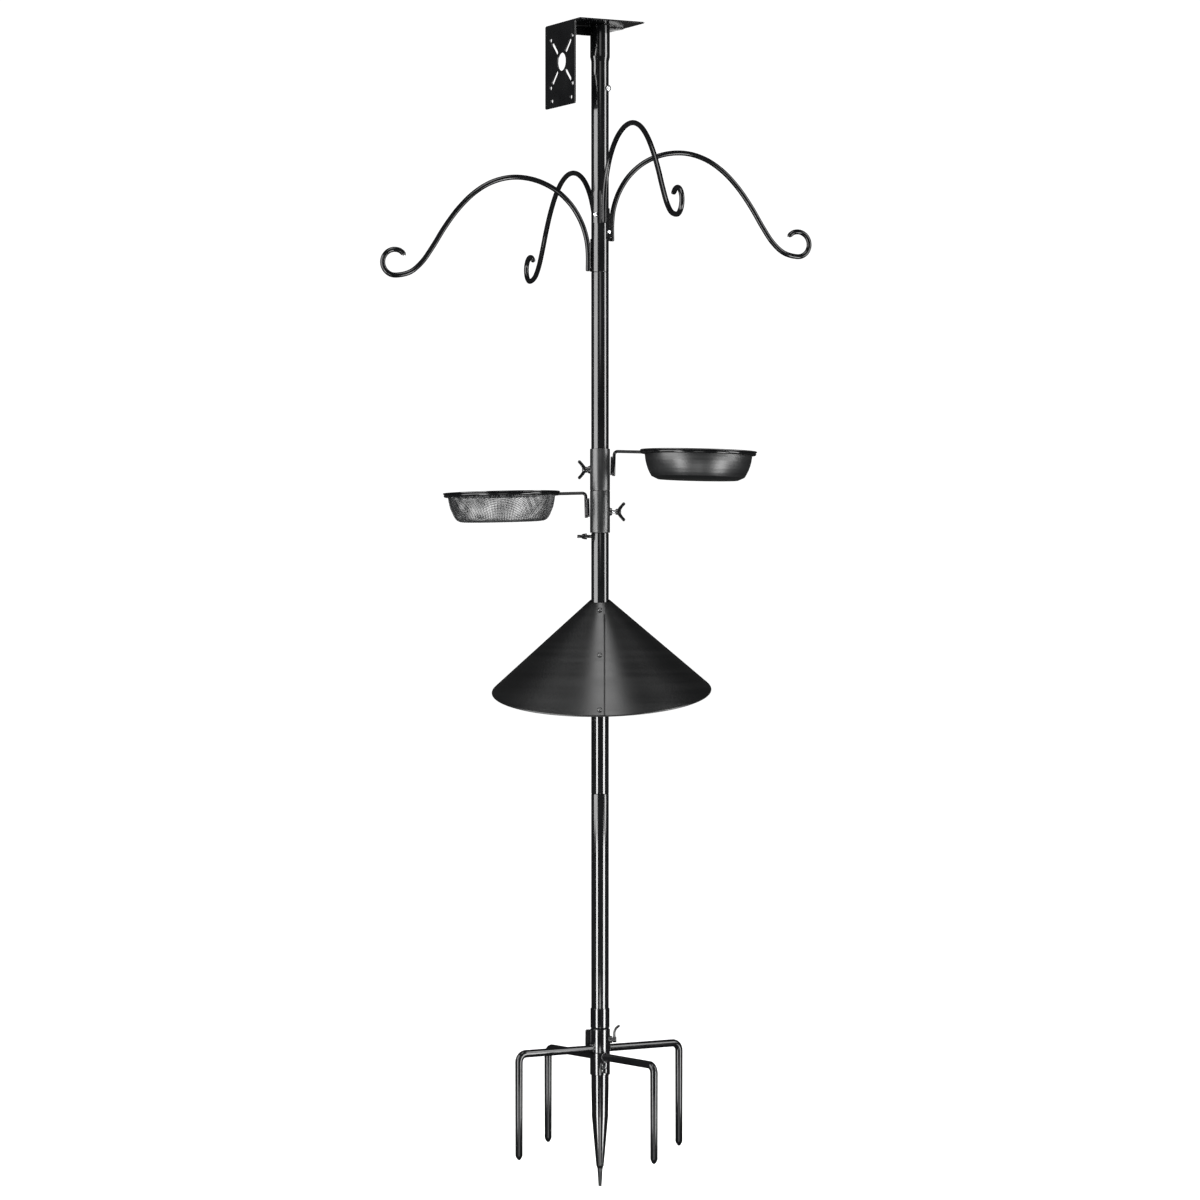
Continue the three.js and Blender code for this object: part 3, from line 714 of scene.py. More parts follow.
def hook_path():
    """A hook's centre line: up the saddle, over its arch, and round the curl at its end."""
    stem = [(r, 0.0, z) for r, z in ARCH]
    for angle in range(CURL_FROM, CURL_TO + 1, 30):
        turn = math.radians(angle)
        stem.append((CURL_X + CURL_R * math.cos(turn), 0.0, CURL_Z + CURL_R * math.sin(turn)))
    return [point * MM for point in smooth_curve(stem, 8)]


def curved_plate(name, inner, outer, start, end, height, corner, material):
    """A plate bent to the pole's round, with its four corners rounded."""
    count = 48
    width = math.radians(end - start) * outer
    points, faces = [], []
    for column in range(count + 1):
        part = (1 - math.cos(math.pi * column / count)) / 2
        along = part * width
        edge = min(along, width - along)
        lift = corner - math.sqrt(max(corner ** 2 - (corner - min(edge, corner)) ** 2, 0.0))
        angle = math.radians(start) + (along / outer)
        for radius, z in ((inner, lift), (outer, lift), (outer, height - lift), (inner, height - lift)):
            points.append((radius * math.cos(angle), radius * math.sin(angle), z))
    for column in range(count):
        here, there = 4 * column, 4 * column + 4
        for index in range(4):
            following = (index + 1) % 4
            faces.append((here + index, there + index, there + following, here + following))
    faces += [(0, 1, 2, 3), (4 * count + 3, 4 * count + 2, 4 * count + 1, 4 * count)]
    return made(name, points, faces, material)


def saddle_welds(turn):
    """Two upright fillets that hold a rod to its saddle."""
    lines = []
    for side in (-1, 1):
        points = []
        for step in range(30):
            z = (4 + 38 * step / 29) * MM
            points.append(turn @ Vector((15.6 * MM, side * 2.6 * MM, z)))
        lines.append(bead(points, 0.9 * MM))
    return lines


def hooks():
    """The four hook arms, their saddles and the welds between them."""
    arch = hook_path()
    lines, welds = [], []
    for name, (angle, height) in HOOK_ARMS.items():
        turn = Matrix.Translation((0, 0, height * MM)) @ around(angle)
        lines.append(even(moved(arch, turn), HOOK_ROD_R))
        welds += saddle_welds(turn)
        saddle = curved_plate(f"saddle_{name}", SADDLE_IN, SADDLE_OUT, SADDLE_FROM, SADDLE_TO, SADDLE_TALL,
                              3.5 * MM, COAT)
        finished(placed(saddle, turn), POLE_BODY, "powder_coat", f"hook_saddle_{name}")
    arms = rods("hook_arms_bent", lines, ROD_COAT, 24)
    finished(arms, POLE_BODY, "powder_coat", *[f"hook_arm_{name}" for name in HOOK_ARMS])
    finished(rods("saddle_welds", welds, WELD, 8), POLE_BODY, "powder_coat")


# ---- bowls and their holders ---------------------------------------------------------
REACH = 143.0 * MM
DROOP = math.radians(1.3)
BOWL_R = 78.3 * MM
TRAYS = {
    "upper": {"angle": 0.0, "rim": 885.0 * MM, "low": 823.3 * MM, "high": 884.0 * MM, "screw_out": 0.0},
    "lower": {"angle": 180.0, "rim": 824.5 * MM, "low": 762.4 * MM, "high": 823.0 * MM, "screw_out": 4.5},
}
BOWL_SIDE = [(67.6, -38.6), (70.3, -34.0), (73.2, -28.0), (75.3, -22.0), (76.7, -16.5), (77.6, -11.0),
             (78.1, -6.0), (78.3, -1.6)]
WEAVE_PITCH, WEAVE_REACH, WEAVE_LIFT = 2.5, 114.0, 0.30
WEAVE_WIRE = 0.37 * MM
JOINT_SCREW = {"angle": 180.0, "z": 757.0 * MM, "out": 2.6, "lean": 84.0}
PAD_TOP, PAD_FOOT = -11.8 * MM, -38.8 * MM
CLOTH_SIDE = [(0.0, -42.4), (57.0, -42.4), (62.0, -41.6), (66.4, -38.6), (69.4, -34.0), (74.5, -22.0),
              (76.8, -11.0), (77.5, -1.4)]


def tray_place(tray, at_centre=True):
    """Where a tray's holder puts its bowl: out along the arm, with the arm's slight droop."""
    turn = around(tray["angle"]) @ Matrix.Rotation(DROOP, 4, "Y")
    place = Matrix.Translation((0, 0, tray["rim"])) @ turn
    return place @ Matrix.Translation((REACH, 0, 0)) if at_centre else place


def spun_bowl():
    """The water bowl: spun sheet with a rolled rim, a soft heel and a raised ring in its floor."""
    wall = 1.2
    outer = [(0.0, -42.2), (20.0, -42.2), (24.0, -43.0), (58.0, -43.0), *BOWL_SIDE]
    lip = [(79.2, -1.9), (83.6, -2.2), (84.7, -1.8), (85.0, -1.0), (84.6, -0.3), (83.8, 0.0), (79.0, -0.25),
           (77.6, -1.0)]
    inner = [(r - wall, z) for r, z in reversed(BOWL_SIDE[:-1])]
    floor = [(60.0, -41.6), (58.0, -41.8), (24.2, -41.8), (20.2, -41.0), (0.0, -41.0)]
    outline = in_metres([*outer, *lip, *inner, *floor])
    bowl = turned("water_bowl_spun", outline, BOWL_SKIN, 0.35 * MM, 160)
    placed(bowl, tray_place(TRAYS["upper"]))
    finished(bowl, "water_bowl", "satin_coat", "water_bowl")


def sieve_point(x, y, lift):
    """Where a point of flat wire cloth goes when the cloth is pressed into a bowl."""
    travel, heading = math.hypot(x, y), math.atan2(y, x)
    for (r0, z0), (r1, z1) in zip(CLOTH_SIDE, CLOTH_SIDE[1:]):
        length = math.hypot(r1 - r0, z1 - z0)
        if travel <= length:
            radius = r0 + ((r1 - r0) * travel + (z1 - z0) * lift) / length
            height = z0 + ((z1 - z0) * travel - (r1 - r0) * lift) / length
            return Vector((radius * math.cos(heading), radius * math.sin(heading), height)) * MM
        travel -= length
    return None


def woven_lines():
    """The wires of a woven cloth, each over and under the ones it crosses, pressed to the bowl."""
    count = int(WEAVE_REACH / WEAVE_PITCH)
    lines = []
    for way in (0, 1):
        for wire in range(-count, count + 1):
            line = []
            for step in range(-count, count + 1):
                over = WEAVE_LIFT if (wire + step + way) % 2 else -WEAVE_LIFT
                along, beside = step * WEAVE_PITCH, wire * WEAVE_PITCH
                flat = (along, beside) if way == 0 else (beside, along)
                point = sieve_point(*flat, over)
                if point is not None:
                    line.append((point, WEAVE_WIRE))
            if len(line) > 2:
                lines.append(line)
    return lines


def wire_tray():
    """The seed tray: woven wire pressed to a bowl, held in a folded sheet rim."""
    place = tray_place(TRAYS["lower"])
    lines = [[(place @ point, radius) for point, radius in line] for line in woven_lines()]
    cloth = rods("seed_tray_cloth", lines, WIRE, 4)
    outside = [(77.9, -5.2), (78.9, -5.4), (79.0, -1.9), (84.0, -2.2), (85.0, -1.4), (84.9, -0.4),
               (84.0, 0.0)]
    inside = [(77.4, 0.0), (76.6, -0.6), (76.6, -5.0), (77.0, -5.2)]
    rim = placed(turned("seed_tray_rim", in_metres([*outside, *inside]), COAT, 0.3 * MM, 160), place)
    finished(cloth, "seed_tray", "wire_mesh", "seed_tray")
    finished(rim, "seed_tray", "powder_coat")


def holder_lines(tray):
    """A round wire hoop for the bowl, the arm that bends down to the sleeve, and their weld."""
    place = tray_place(tray, at_centre=False)
    hoop_r = BOWL_R + HOLDER_ROD_R + 0.9 * MM
    level = -1.9 * MM - HOLDER_ROD_R
    leg = COLLAR_R + 4.0 * MM + HOLDER_ROD_R
    corners = [(leg, 0, level - 36 * MM), (leg, 0, level), (REACH - hoop_r + 0.5 * MM, 0, level)]
    arm = even(moved(rounded_path(corners, 5 * MM, 12), place), HOLDER_ROD_R, ends=(True, False))
    ring = ring_points(REACH, 0.0, hoop_r, 161, 0.0, 359.999)
    hoop = [(place @ Vector((x, y, level)), HOLDER_ROD_R) for x, y in ring]
    start = REACH - hoop_r - 1.2 * MM
    joint = [(start + 0.25 * MM * step, 0, level - 1.1 * MM) for step in range(9)]
    return [arm, hoop], [bead(moved(joint, place), 1.5 * MM)]


def holder_pad(name, place):
    """The flat pad between a holder's leg and its sleeve."""
    outline = rounded_corners(-PAD_TOP, -PAD_FOOT, -4.5 * MM, 4.5 * MM, 2.2 * MM)
    pad = flat_piece(f"holder_pad_{name}", outline, [], 3.9 * MM, COAT, 0.5 * MM)
    upright = Matrix.Translation((17.65 * MM, 0, 0)) @ Matrix.Rotation(math.radians(90), 4, "Y")
    return placed(pad, place @ upright)


def tray_holder(name, tray, body):
    """The wire frame, its pad and its welds, with the boss's weld on the far side of the sleeve."""
    place = tray_place(tray, at_centre=False)
    wires, welds = holder_lines(tray)
    pad = holder_pad(name, place)
    frame_wire = rods(f"tray_holder_{name}_wire", wires, ROD_COAT, 20)
    holder = joined(f"tray_holder_{name}_fabricated", [frame_wire, pad])
    finished(holder, body, "powder_coat", f"tray_holder_{name}")
    welds.append(boss_weld(tray["angle"] + 180.0, COLLAR_R, sleeve_middle(tray)))
    for side in (-1, 1):
        points = [(19.4 * MM, side * 1.9 * MM, PAD_TOP - (1 + 24 * step / 19) * MM) for step in range(20)]
        welds.append(bead(moved(points, place), 0.8 * MM))
    finished(rods(f"tray_holder_{name}_welds", welds, WELD, 8), body, "powder_coat")


def sleeve_middle(tray):
    """The height of a sleeve's boss and wing screw."""
    return (tray["low"] + tray["high"]) / 2


def tray_sleeve(name, tray, body):
    """The sleeve that rides the pole, with the boss that its wing screw passes through."""
    outline = tube_outline(COLLAR_R, COLLAR_BORE, tray["low"], tray["high"])
    tube = turned(f"tray_sleeve_{name}_tube", outline, SLEEVE, 0.6 * MM)
    finished(tube, body, "sleeve_coat", f"tray_sleeve_{name}")
    ring = boss(f"sleeve_boss_{name}", tray["angle"] + 180.0, COLLAR_R, sleeve_middle(tray))
    finished(ring, body, "powder_coat")


def wing_outline(start, mirrored):
    """One wing of a wing screw: it leaves the hub, leans out and ends in a round tip."""
    def bend(a, b, c):
        return [tuple((1 - t) ** 2 * p + 2 * t * (1 - t) * q + t * t * r for p, q, r in zip(a, b, c))
                for t in (0.0, 0.2, 0.4, 0.6, 0.8, 1.0)]
    root = bend((0.2, start + 1.2), (7.0, start + 4.0), (11.6, start + 9.5))
    tip = ring_points(11.4, start + 12.1, 2.5, 12, -60.0, 190.0)
    back = bend((10.0, start + 13.9), (5.0, start + 9.2), (0.2, start + 7.4))
    points = [(x * MM, y * MM) for x, y in [*root[:-1], *tip, *back[1:]]]
    return [(-x, y) for x, y in reversed(points)] if mirrored else points


def cast_wings(name, start):
    """The hub and two wings of a wing screw, cast in one."""
    stand = Matrix.Rotation(math.radians(90), 4, "X")
    outline = [(0, start + 0.3), (4.0, start + 0.3), (4.4, start + 0.9), (4.3, start + 3.3),
               (3.5, start + 7.3), (2.4, start + 8.3), (0, start + 8.6)]
    wings = []
    for mirrored in (False, True):
        shape = wing_outline(start, mirrored)
        wing = flat_piece(f"{name}_wing_{int(mirrored)}", shape, [], 2.5 * MM, COAT, 0.8 * MM)
        wings.append(placed(wing, stand))
    hub = turned(f"{name}_hub", in_metres(outline), COAT, 0.5 * MM, 48)
    return joined(f"{name}_cast", [hub, *wings])


def wing_screw(name, node, body, place, out, shank_skin):
    """A wing screw whose hub stands a little way out from its seat, and its thread."""
    start = 3.2 + out
    finished(placed(cast_wings(name, start), place), body, "powder_coat", node)
    thread = thread_outline(2.4 * MM, -1.1 * MM, (start + 0.6) * MM)
    shank = placed(turned(f"{name}_shank", thread, shank_skin, 0.0, 40), place)
    finished(shank, body, "zinc" if shank_skin is ZINC else "powder_coat")


def trays():
    """Both bowls with their holders, sleeves and wing screws, and the wing screw at the pole joint."""
    spun_bowl()
    wire_tray()
    for name, tray in TRAYS.items():
        body = f"{name}_holder"
        tray_holder(name, tray, body)
        tray_sleeve(name, tray, body)
        screw = f"wing_screw_{name}"
        place = facing_out(tray["angle"] + 180.0, COLLAR_R, sleeve_middle(tray))
        wing_screw(screw, screw, f"{name}_wing_screw", place, tray["screw_out"], ZINC)
    place = facing_out(JOINT_SCREW["angle"], TUBE_R, JOINT_SCREW["z"]) @ around(JOINT_SCREW["lean"])
    wing_screw("joint_screw", "pole_joint_screw", "joint_wing_screw", place, JOINT_SCREW["out"], COAT)


# ---- baffle --------------------------------------------------------------------------
# The cone's own sizes are in millimetres, from the middle of its mouth.
MOUTH_R, BAFFLE_RIM_R = 15.0, 160.0
BAFFLE_SLOPE = math.radians(42.6)
BAFFLE_SHEET = 1.2
SEAM_ANGLE = 269.0
SEAM_SCREWS = {"top": 0.07, "middle": 0.47, "rim": 0.95}
LAP_LIFT, LAP_UNIT = 0.8, 8.0
LAP_ACROSS = (-6.0, -5.0, -4.0, -3.2, -2.5, -1.9, -1.3, -0.8, -0.3, 0.2, 0.6, 0.95, 1.0)
HANGING_POINT = (0, 17.4 * MM, 664.2 * MM)
CLAMP_LOW, CLAMP_HIGH = 616 * MM, 638 * MM
CLAMP_MIDDLE = (CLAMP_LOW + CLAMP_HIGH) / 2
HANGER_LOW, HANGER_HIGH, PEG_TOP = 638.3 * MM, 646 * MM, 661 * MM


def baffle_place():
    """The cone hangs by its mouth on the hanger's peg, tipped forward and a little to one side."""
    hung = Matrix.Translation(HANGING_POINT) @ Matrix.Rotation(math.radians(12), 4, "X")
    to_mouth = Matrix.Translation((0, -17.3 * MM, 3.5 * MM))
    return hung @ Matrix.Rotation(math.radians(-1), 4, "Y") @ to_mouth


def cone_sheet():
    """The rolled cone, with a small rolled hem at its rim."""
    rise = math.tan(BAFFLE_SLOPE)
    drop = (BAFFLE_RIM_R - MOUTH_R) * rise
    under = BAFFLE_SHEET / math.cos(BAFFLE_SLOPE)
    steps = 24
    outer = []
    for step in range(steps + 1):
        part = step / steps
        outer.append((MOUTH_R + (BAFFLE_RIM_R - 1.2 - MOUTH_R) * part, -(drop - 1.1) * part))
    hem = [(159.6, 0.3 - drop), (160.0, -drop - 0.5), (159.8, -drop - 1.3), (158.9, -drop - 1.6),
           (157.6, -drop - 0.9)]
    inner = [(r - 0.4, z - under) for r, z in reversed(outer[:-1])]
    return turned("baffle_cone_rolled", in_metres([*outer, *hem, *inner]), BAFFLE_SKIN, 0.25 * MM, 192)


def lap_lift(across, outside):
    """How far the lap stands off the cone: proud at its free edge, sunk into the cone elsewhere."""
    climb = min(1.0, (across + 6.0) / 6.6)
    lift = LAP_LIFT * climb * climb * (3 - 2 * climb) - 0.04 if outside else -0.25
    return min(lift, LAP_LIFT - (0.3 if across == 1.0 else 0.04))


def seam_lap():
    """The lapped edge of the sheet, from the mouth to the rim."""
    run, rows = BAFFLE_RIM_R - MOUTH_R, 40
    points = []
    for outside in (True, False):
        for row in range(rows + 1):
            out = run * (0.004 + 0.992 * row / rows)
            radius, height = MOUTH_R + out, -out * math.tan(BAFFLE_SLOPE)
            for across in LAP_ACROSS:
                lift = lap_lift(across, outside)
                angle = across * LAP_UNIT / max(radius, 16.0)
                wide = radius + lift * math.sin(BAFFLE_SLOPE)
                high = height + lift * math.cos(BAFFLE_SLOPE)
                points.append(Vector((wide * math.cos(angle), wide * math.sin(angle), high)) * MM)
    lap = made("baffle_seam_lap", points, shell_faces(rows, len(LAP_ACROSS)), BAFFLE_SKIN)
    return placed(lap, around(SEAM_ANGLE))


def shell_faces(rows, columns):
    """Faces of two facing grids of points, closed round their edges."""
    layer = (rows + 1) * columns
    faces = []
    for row in range(rows):
        for column in range(columns - 1):
            a = row * columns + column
            faces.append((a, a + 1, a + 1 + columns, a + columns))
            faces.append((layer + a, layer + a + columns, layer + a + 1 + columns, layer + a + 1))
    edge = [row * columns for row in range(rows + 1)]
    edge += [rows * columns + column for column in range(1, columns)]
    edge += [row * columns + columns - 1 for row in range(rows - 1, -1, -1)]
    edge += [column for column in range(columns - 2, 0, -1)]
    for here, there in zip(edge, edge[1:] + edge[:1]):
        faces.append((here, there, layer + there, layer + here))
    return faces


def baffle():
    """The cone, the clamp that carries it and the hanger between them."""
    cone = placed(joined("baffle_cone_sheet", [cone_sheet(), seam_lap()]), baffle_place())
    finished(cone, "baffle", "satin_coat", "baffle_cone")
    baffle_clamp()
    baffle_hanger()


def baffle_clamp():
    """The collar that grips the pole under the hanger, with its screw boss at the back."""
    outline = tube_outline(COLLAR_R, COLLAR_BORE, CLAMP_LOW, CLAMP_HIGH)
    collar = turned("baffle_collar_ring", outline, COAT, 0.5 * MM)
    clamp = joined("baffle_collar_turned", [collar, boss("baffle_boss", 90.0, COLLAR_R, CLAMP_MIDDLE)])
    finished(clamp, "baffle_clamp", "powder_coat", "baffle_collar")


def baffle_hanger():
    """A ring that rests on the clamp, and the upright peg that the cone's mouth hangs on."""
    outline = tube_outline(COLLAR_R, COLLAR_BORE, HANGER_LOW, HANGER_HIGH)
    ring = turned("baffle_hanger_ring", outline, COAT, 0.5 * MM)
    upright = rounded_corners(-2.5 * MM, 2.5 * MM, 639 * MM, PEG_TOP, 1.6 * MM)
    peg = flat_piece("hanger_peg", upright, [], 3 * MM, COAT, 0.5 * MM)
    placed(peg, Matrix.Rotation(math.radians(90), 4, "X"))
    placed(peg, Matrix.Translation((0, 14.9 * MM, 0)))
    finished(joined("baffle_hanger_turned", [ring, peg]), "baffle_hanger", "powder_coat", "baffle_hanger")


# ---- top bracket ---------------------------------------------------------------------
# The plate's sizes are in millimetres.
PLATE = {"left": -60.8, "right": 47.7, "front": -49.0, "wall_front": -38.0, "back": 55.8,
         "top": 1500.0, "low": 1378.0}
PLATE_T = 2.0
BEND_OUT = 3.4
BRACKET_TURN = 27.8
HOLES = {"y": 4.0, "z": 1442.0, "centre": 13.0, "corner": (34.0, 34.5), "small": 3.0,
         "foot": (30.0, -54.0), "slot": 5.6, "from": 0.42, "to": 0.8}
STUB_BORE, STUB_FOOT, SHELF_UNDERSIDE = 9.8 * MM, 1380 * MM, 1497.7 * MM
WEB_Y = 16.2 * MM


def slot_points(near, far, width):
    """A slot with round ends between two points."""
    heading = math.degrees(math.atan2(far[1] - near[1], far[0] - near[0]))
    points = ring_points(*far, width / 2, 12, heading - 90, 180.0)
    return points + ring_points(*near, width / 2, 12, heading + 90, 180.0)


def plate_holes(bend_end, bend_z):
    """The wall plate's holes, on the flat blank: x runs from the shelf's free edge down the wall."""
    middle_y, middle_z = HOLES["y"], HOLES["z"]
    holes = []

    def blank(points):
        return [((bend_end + bend_z - middle_z - up) * MM, (middle_y + across) * MM) for across, up in points]

    holes.append(blank(ring_points(0, 0, HOLES["centre"], 64)))
    for side in (-1, 1):
        holes.append(blank(ring_points(side * HOLES["foot"][0], HOLES["foot"][1], HOLES["small"], 32)))
        for tall in (-1, 1):
            x, y = side * HOLES["corner"][0], tall * HOLES["corner"][1]
            holes.append(blank(ring_points(x, y, HOLES["small"], 32)))
            near, far = (x * HOLES["from"], y * HOLES["from"]), (x * HOLES["to"], y * HOLES["to"])
            holes.append(blank(slot_points(near, far, HOLES["slot"])))
    return holes


def blank_outline(length, shoulder):
    """The cut blank: the wall end is narrower than the shelf, with a rounded shoulder at the fold."""
    front, wall, back = PLATE["front"], PLATE["wall_front"], PLATE["back"]
    corners = [(0, front), (shoulder, front), (shoulder, wall), (length, wall), (length, back), (0, back)]
    points = []
    for index, corner in enumerate(corners):
        before, after = corners[index - 1], corners[(index + 1) % len(corners)]
        points += [(x * MM, y * MM) for x, y in corner_arc(before, corner, after, 3.0, 6)]
    return points


def folded_plate():
    """Shelf and wall plate: one blank with its holes, folded once to an even bend radius."""
    neutral = BEND_OUT - PLATE_T / 2
    bend_start = PLATE["right"] - (PLATE["left"] + BEND_OUT)
    bend_end = bend_start + neutral * math.pi / 2
    bend_x, bend_z = PLATE["left"] + BEND_OUT, PLATE["top"] - BEND_OUT
    length = bend_end + bend_z - PLATE["low"]
    outline = blank_outline(length, bend_end)
    holes = plate_holes(bend_end, bend_z)
    blank = flat_piece("bracket_plate_folded", outline, holes, PLATE_T * MM, COAT, 0.4 * MM)
    work = bmesh.new()
    work.from_mesh(blank.data)
    for step in range(9):
        cut = (bend_start + (bend_end - bend_start) * step / 8) * MM
        everything = work.verts[:] + work.edges[:] + work.faces[:]
        bmesh.ops.bisect_plane(work, geom=everything, dist=1e-7, plane_co=(cut, 0, 0), plane_no=(1, 0, 0))
    for vertex in work.verts:
        along, up = vertex.co.x / MM, vertex.co.z / MM
        if along <= bend_start:
            x, z = PLATE["right"] - along, PLATE["top"] - PLATE_T / 2 + up
        elif along <= bend_end:
            turn = (along - bend_start) / neutral
            x, z = bend_x - (neutral + up) * math.sin(turn), bend_z + (neutral + up) * math.cos(turn)
        else:
            x, z = PLATE["left"] + PLATE_T / 2 - up, bend_z - (along - bend_end)
        vertex.co = (x * MM, vertex.co.y, z * MM)
    bmesh.ops.recalc_face_normals(work, faces=work.faces)
    work.to_mesh(blank.data)
    work.free()
    soften(blank.data, 40.0)
    return placed(blank, around(BRACKET_TURN))


def bracket_web():
    """The thin web that stiffens the shelf."""
    outline = [(-58.5, 0.0), (-58.5, -13.4), (-8.5, -13.4), (47.2, -0.8), (47.2, 0.0)]
    web = flat_piece("bracket_web_cut", in_metres(outline), [], PLATE_T * MM, COAT, 0.3 * MM)
    placed(web, Matrix.Rotation(math.radians(90), 4, "X"))
    placed(web, around(BRACKET_TURN) @ Matrix.Translation((0, WEB_Y, SHELF_UNDERSIDE)))
    return web


def web_welds():
    """Three short beads along each side of the web."""
    lines = []
    for across in (WEB_Y - 1.7 * MM, WEB_Y + 1.7 * MM):
        for start in (-52, -10, 32):
            points = [((start + 0.8 * step) * MM, across, 1497.5 * MM) for step in range(16)]
            lines.append(bead(moved(points, around(BRACKET_TURN)), 0.8 * MM))
    return rods("bracket_welds", lines, WELD, 8)


def bracket():
    """The folded plate, its web and the stub tube that stands in the top of the pole."""
    finished(folded_plate(), "top_bracket", "powder_coat", "bracket_plate")
    finished(bracket_web(), "top_bracket", "powder_coat", "bracket_gusset")
    outline = tube_outline(SPIGOT_R, STUB_BORE, STUB_FOOT, SHELF_UNDERSIDE)
    stub = turned("bracket_stub_tube", outline, COAT, 0.4 * MM)
    finished(stub, "top_bracket", "powder_coat", "bracket_stub")
    finished(web_welds(), "top_bracket", "powder_coat")


# ---- screws --------------------------------------------------------------------------
BRACKET_SCREW = {"angle": 330.0, "z": 1406 * MM, "size": 1.35}
CLAMP_SCREW_SIZE = 1.2


def cross_recess(thing, depth, width, reach, top):
    """Cuts a cross-shaped driver recess into the top of a screw head."""
    for turn in (0, 90):
        mesh = bpy.data.meshes.new("driver_blade")
        work = bmesh.new()
        bmesh.ops.create_cube(work, size=1.0)
        for vertex in work.verts:
            lower = vertex.co.z < 0
            vertex.co.x *= reach * (1.1 if lower else 2.0)
            vertex.co.y *= width * (0.7 if lower else 1.2)
            vertex.co.z = top - depth if lower else top + 1 * MM
        work.to_mesh(mesh)
        work.free()
        blade = bpy.data.objects.new("driver_blade", mesh)
        blade.rotation_euler.z = math.radians(turn)
        bpy.context.scene.collection.objects.link(blade)
        cut = thing.modifiers.new("recess", "BOOLEAN")
        cut.operation, cut.object, cut.solver = "DIFFERENCE", blade, "EXACT"
        bpy.context.view_layer.update()
        mesh = bpy.data.meshes.new_from_object(thing.evaluated_get(bpy.context.evaluated_depsgraph_get()))
        thing.modifiers.clear()
        thing.data = mesh
        bpy.data.objects.remove(blade)


def pan_head(material):
    """A pan head machine screw along +Z, with its seat at z = 0.3 mm."""
    head = [(0, 0.3), (3.3, 0.3), (3.5, 0.6), (3.5, 1.5), (3.3, 2.1), (2.8, 2.65), (2.0, 3.05),
            (1.0, 3.25), (0, 3.3)]
    screw = turned("pan_head_screw", in_metres(head), material, 0.12 * MM, 40)
    cross_recess(screw, 1.7 * MM, 0.9 * MM, 2.3 * MM, 3.3 * MM)
    soften(screw.data, 30.0)
    return screw


def seam_bolt(material):
    """A low button head outside the cone, with its shank and hexagon nut inside."""
    head = [(0, 1.5), (3.2, 1.5), (3.4, 1.8), (3.3, 2.5), (2.8, 3.1), (1.8, 3.55), (0, 3.7)]
    bolt = turned("seam_bolt", in_metres(head), material, 0.12 * MM, 40)
    cross_recess(bolt, 1.3 * MM, 0.8 * MM, 2.0 * MM, 3.7 * MM)
    hexagon = [(0, -4.6), (3.0, -4.6), (3.3, -4.3), (3.3, -1.8), (3.0, -1.5), (0, -1.5)]
    nut = turned("seam_nut", in_metres(hexagon), material, 0.0, 6)
    shank = turned("seam_shank", thread_outline(1.8 * MM, -5.2 * MM, 1.8 * MM), material, 0.0, 24)
    return joined("seam_bolt", [bolt, nut, shank])


def point_mesh(name, places):
    """Points that say where each fixing sits, which way it faces and how large it is."""
    mesh = bpy.data.meshes.new(name)
    mesh.from_pydata([tuple(seat) for seat, _, _ in places], [], [])
    facing = mesh.attributes.new("facing", "FLOAT_VECTOR", "POINT")
    facing.data.foreach_set("vector", [value for _, way, _ in places for value in way])
    size = mesh.attributes.new("size", "FLOAT", "POINT")
    size.data.foreach_set("value", [size for _, _, size in places])
    return mesh


def seated(angle, radius, height, size=1.0):
    """A fixing's seat, the way it faces and its size, for one that faces out from the pole."""
    place = facing_out(angle, radius, height)
    return place.translation.copy(), place.to_3x3() @ Vector((0, 0, 1)), size


def fixings(name, places, shape, material, body, slot, *nodes):
    """Copies of one fixing at several places, as one piece."""
    seats = point_mesh(name + "_seats", places)
    screws = through_tree(name, seats, FIXING_TREE, Fixing=shape, Finish=material)
    soften(screws.data, 30.0)
    finished(screws, body, slot, *nodes)


def pole_screws(pan):
    """The screws that hold the stake's collar, the bracket and the hook saddles."""
    stake_screw = [seated(PAD_ANGLE, COLLAR_R + PAD_OUT, PAD_Z)]
    fixings("stake_screw", stake_screw, pan, COAT, POLE_BODY, "powder_coat", "collar_screw")
    places = [seated(BRACKET_SCREW["angle"], TUBE_R, BRACKET_SCREW["z"], BRACKET_SCREW["size"])]
    for angle, height in HOOK_ARMS.values():
        places.append(seated(angle + SADDLE_SCREW_ANGLE, SADDLE_OUT, height * MM + SADDLE_SCREW_Z))
    saddle_nodes = [f"saddle_screw_{name}" for name in HOOK_ARMS]
    fixings("pole_screws", places, pan, ZINC, POLE_BODY, "zinc", "bracket_screw", *saddle_nodes)


def seam_places():
    """Where the seam's bolts sit on the cone, and the way the cone faces there."""
    place = baffle_place()
    outward = Vector((math.sin(BAFFLE_SLOPE), 0, math.cos(BAFFLE_SLOPE)))
    facing = place.to_3x3() @ around(SEAM_ANGLE).to_3x3() @ outward
    places = []
    for along in SEAM_SCREWS.values():
        out = (BAFFLE_RIM_R - MOUTH_R) * along
        seat = Vector((MOUTH_R + out, 0, -out * math.tan(BAFFLE_SLOPE))) * MM
        places.append((place @ around(SEAM_ANGLE) @ seat, facing, 1.0))
    return places


def screws():
    """Every small screw and bolt. Each kind is drawn once and copied."""
    pan, bolt = pan_head(ZINC), seam_bolt(COAT)
    pole_screws(pan)
    clamp = [seated(90.0, COLLAR_R + BOSS_OUT, CLAMP_MIDDLE, CLAMP_SCREW_SIZE)]
    fixings("baffle_clamp_screw", clamp, pan, ZINC, "baffle_clamp", "zinc", "baffle_collar_screw")
    nodes = [f"baffle_screw_{name}" for name in SEAM_SCREWS]
    fixings("baffle_seam_bolts", seam_places(), bolt, COAT, "baffle", "powder_coat", *nodes)
    for shape in (pan, bolt):
        bpy.data.objects.remove(shape)


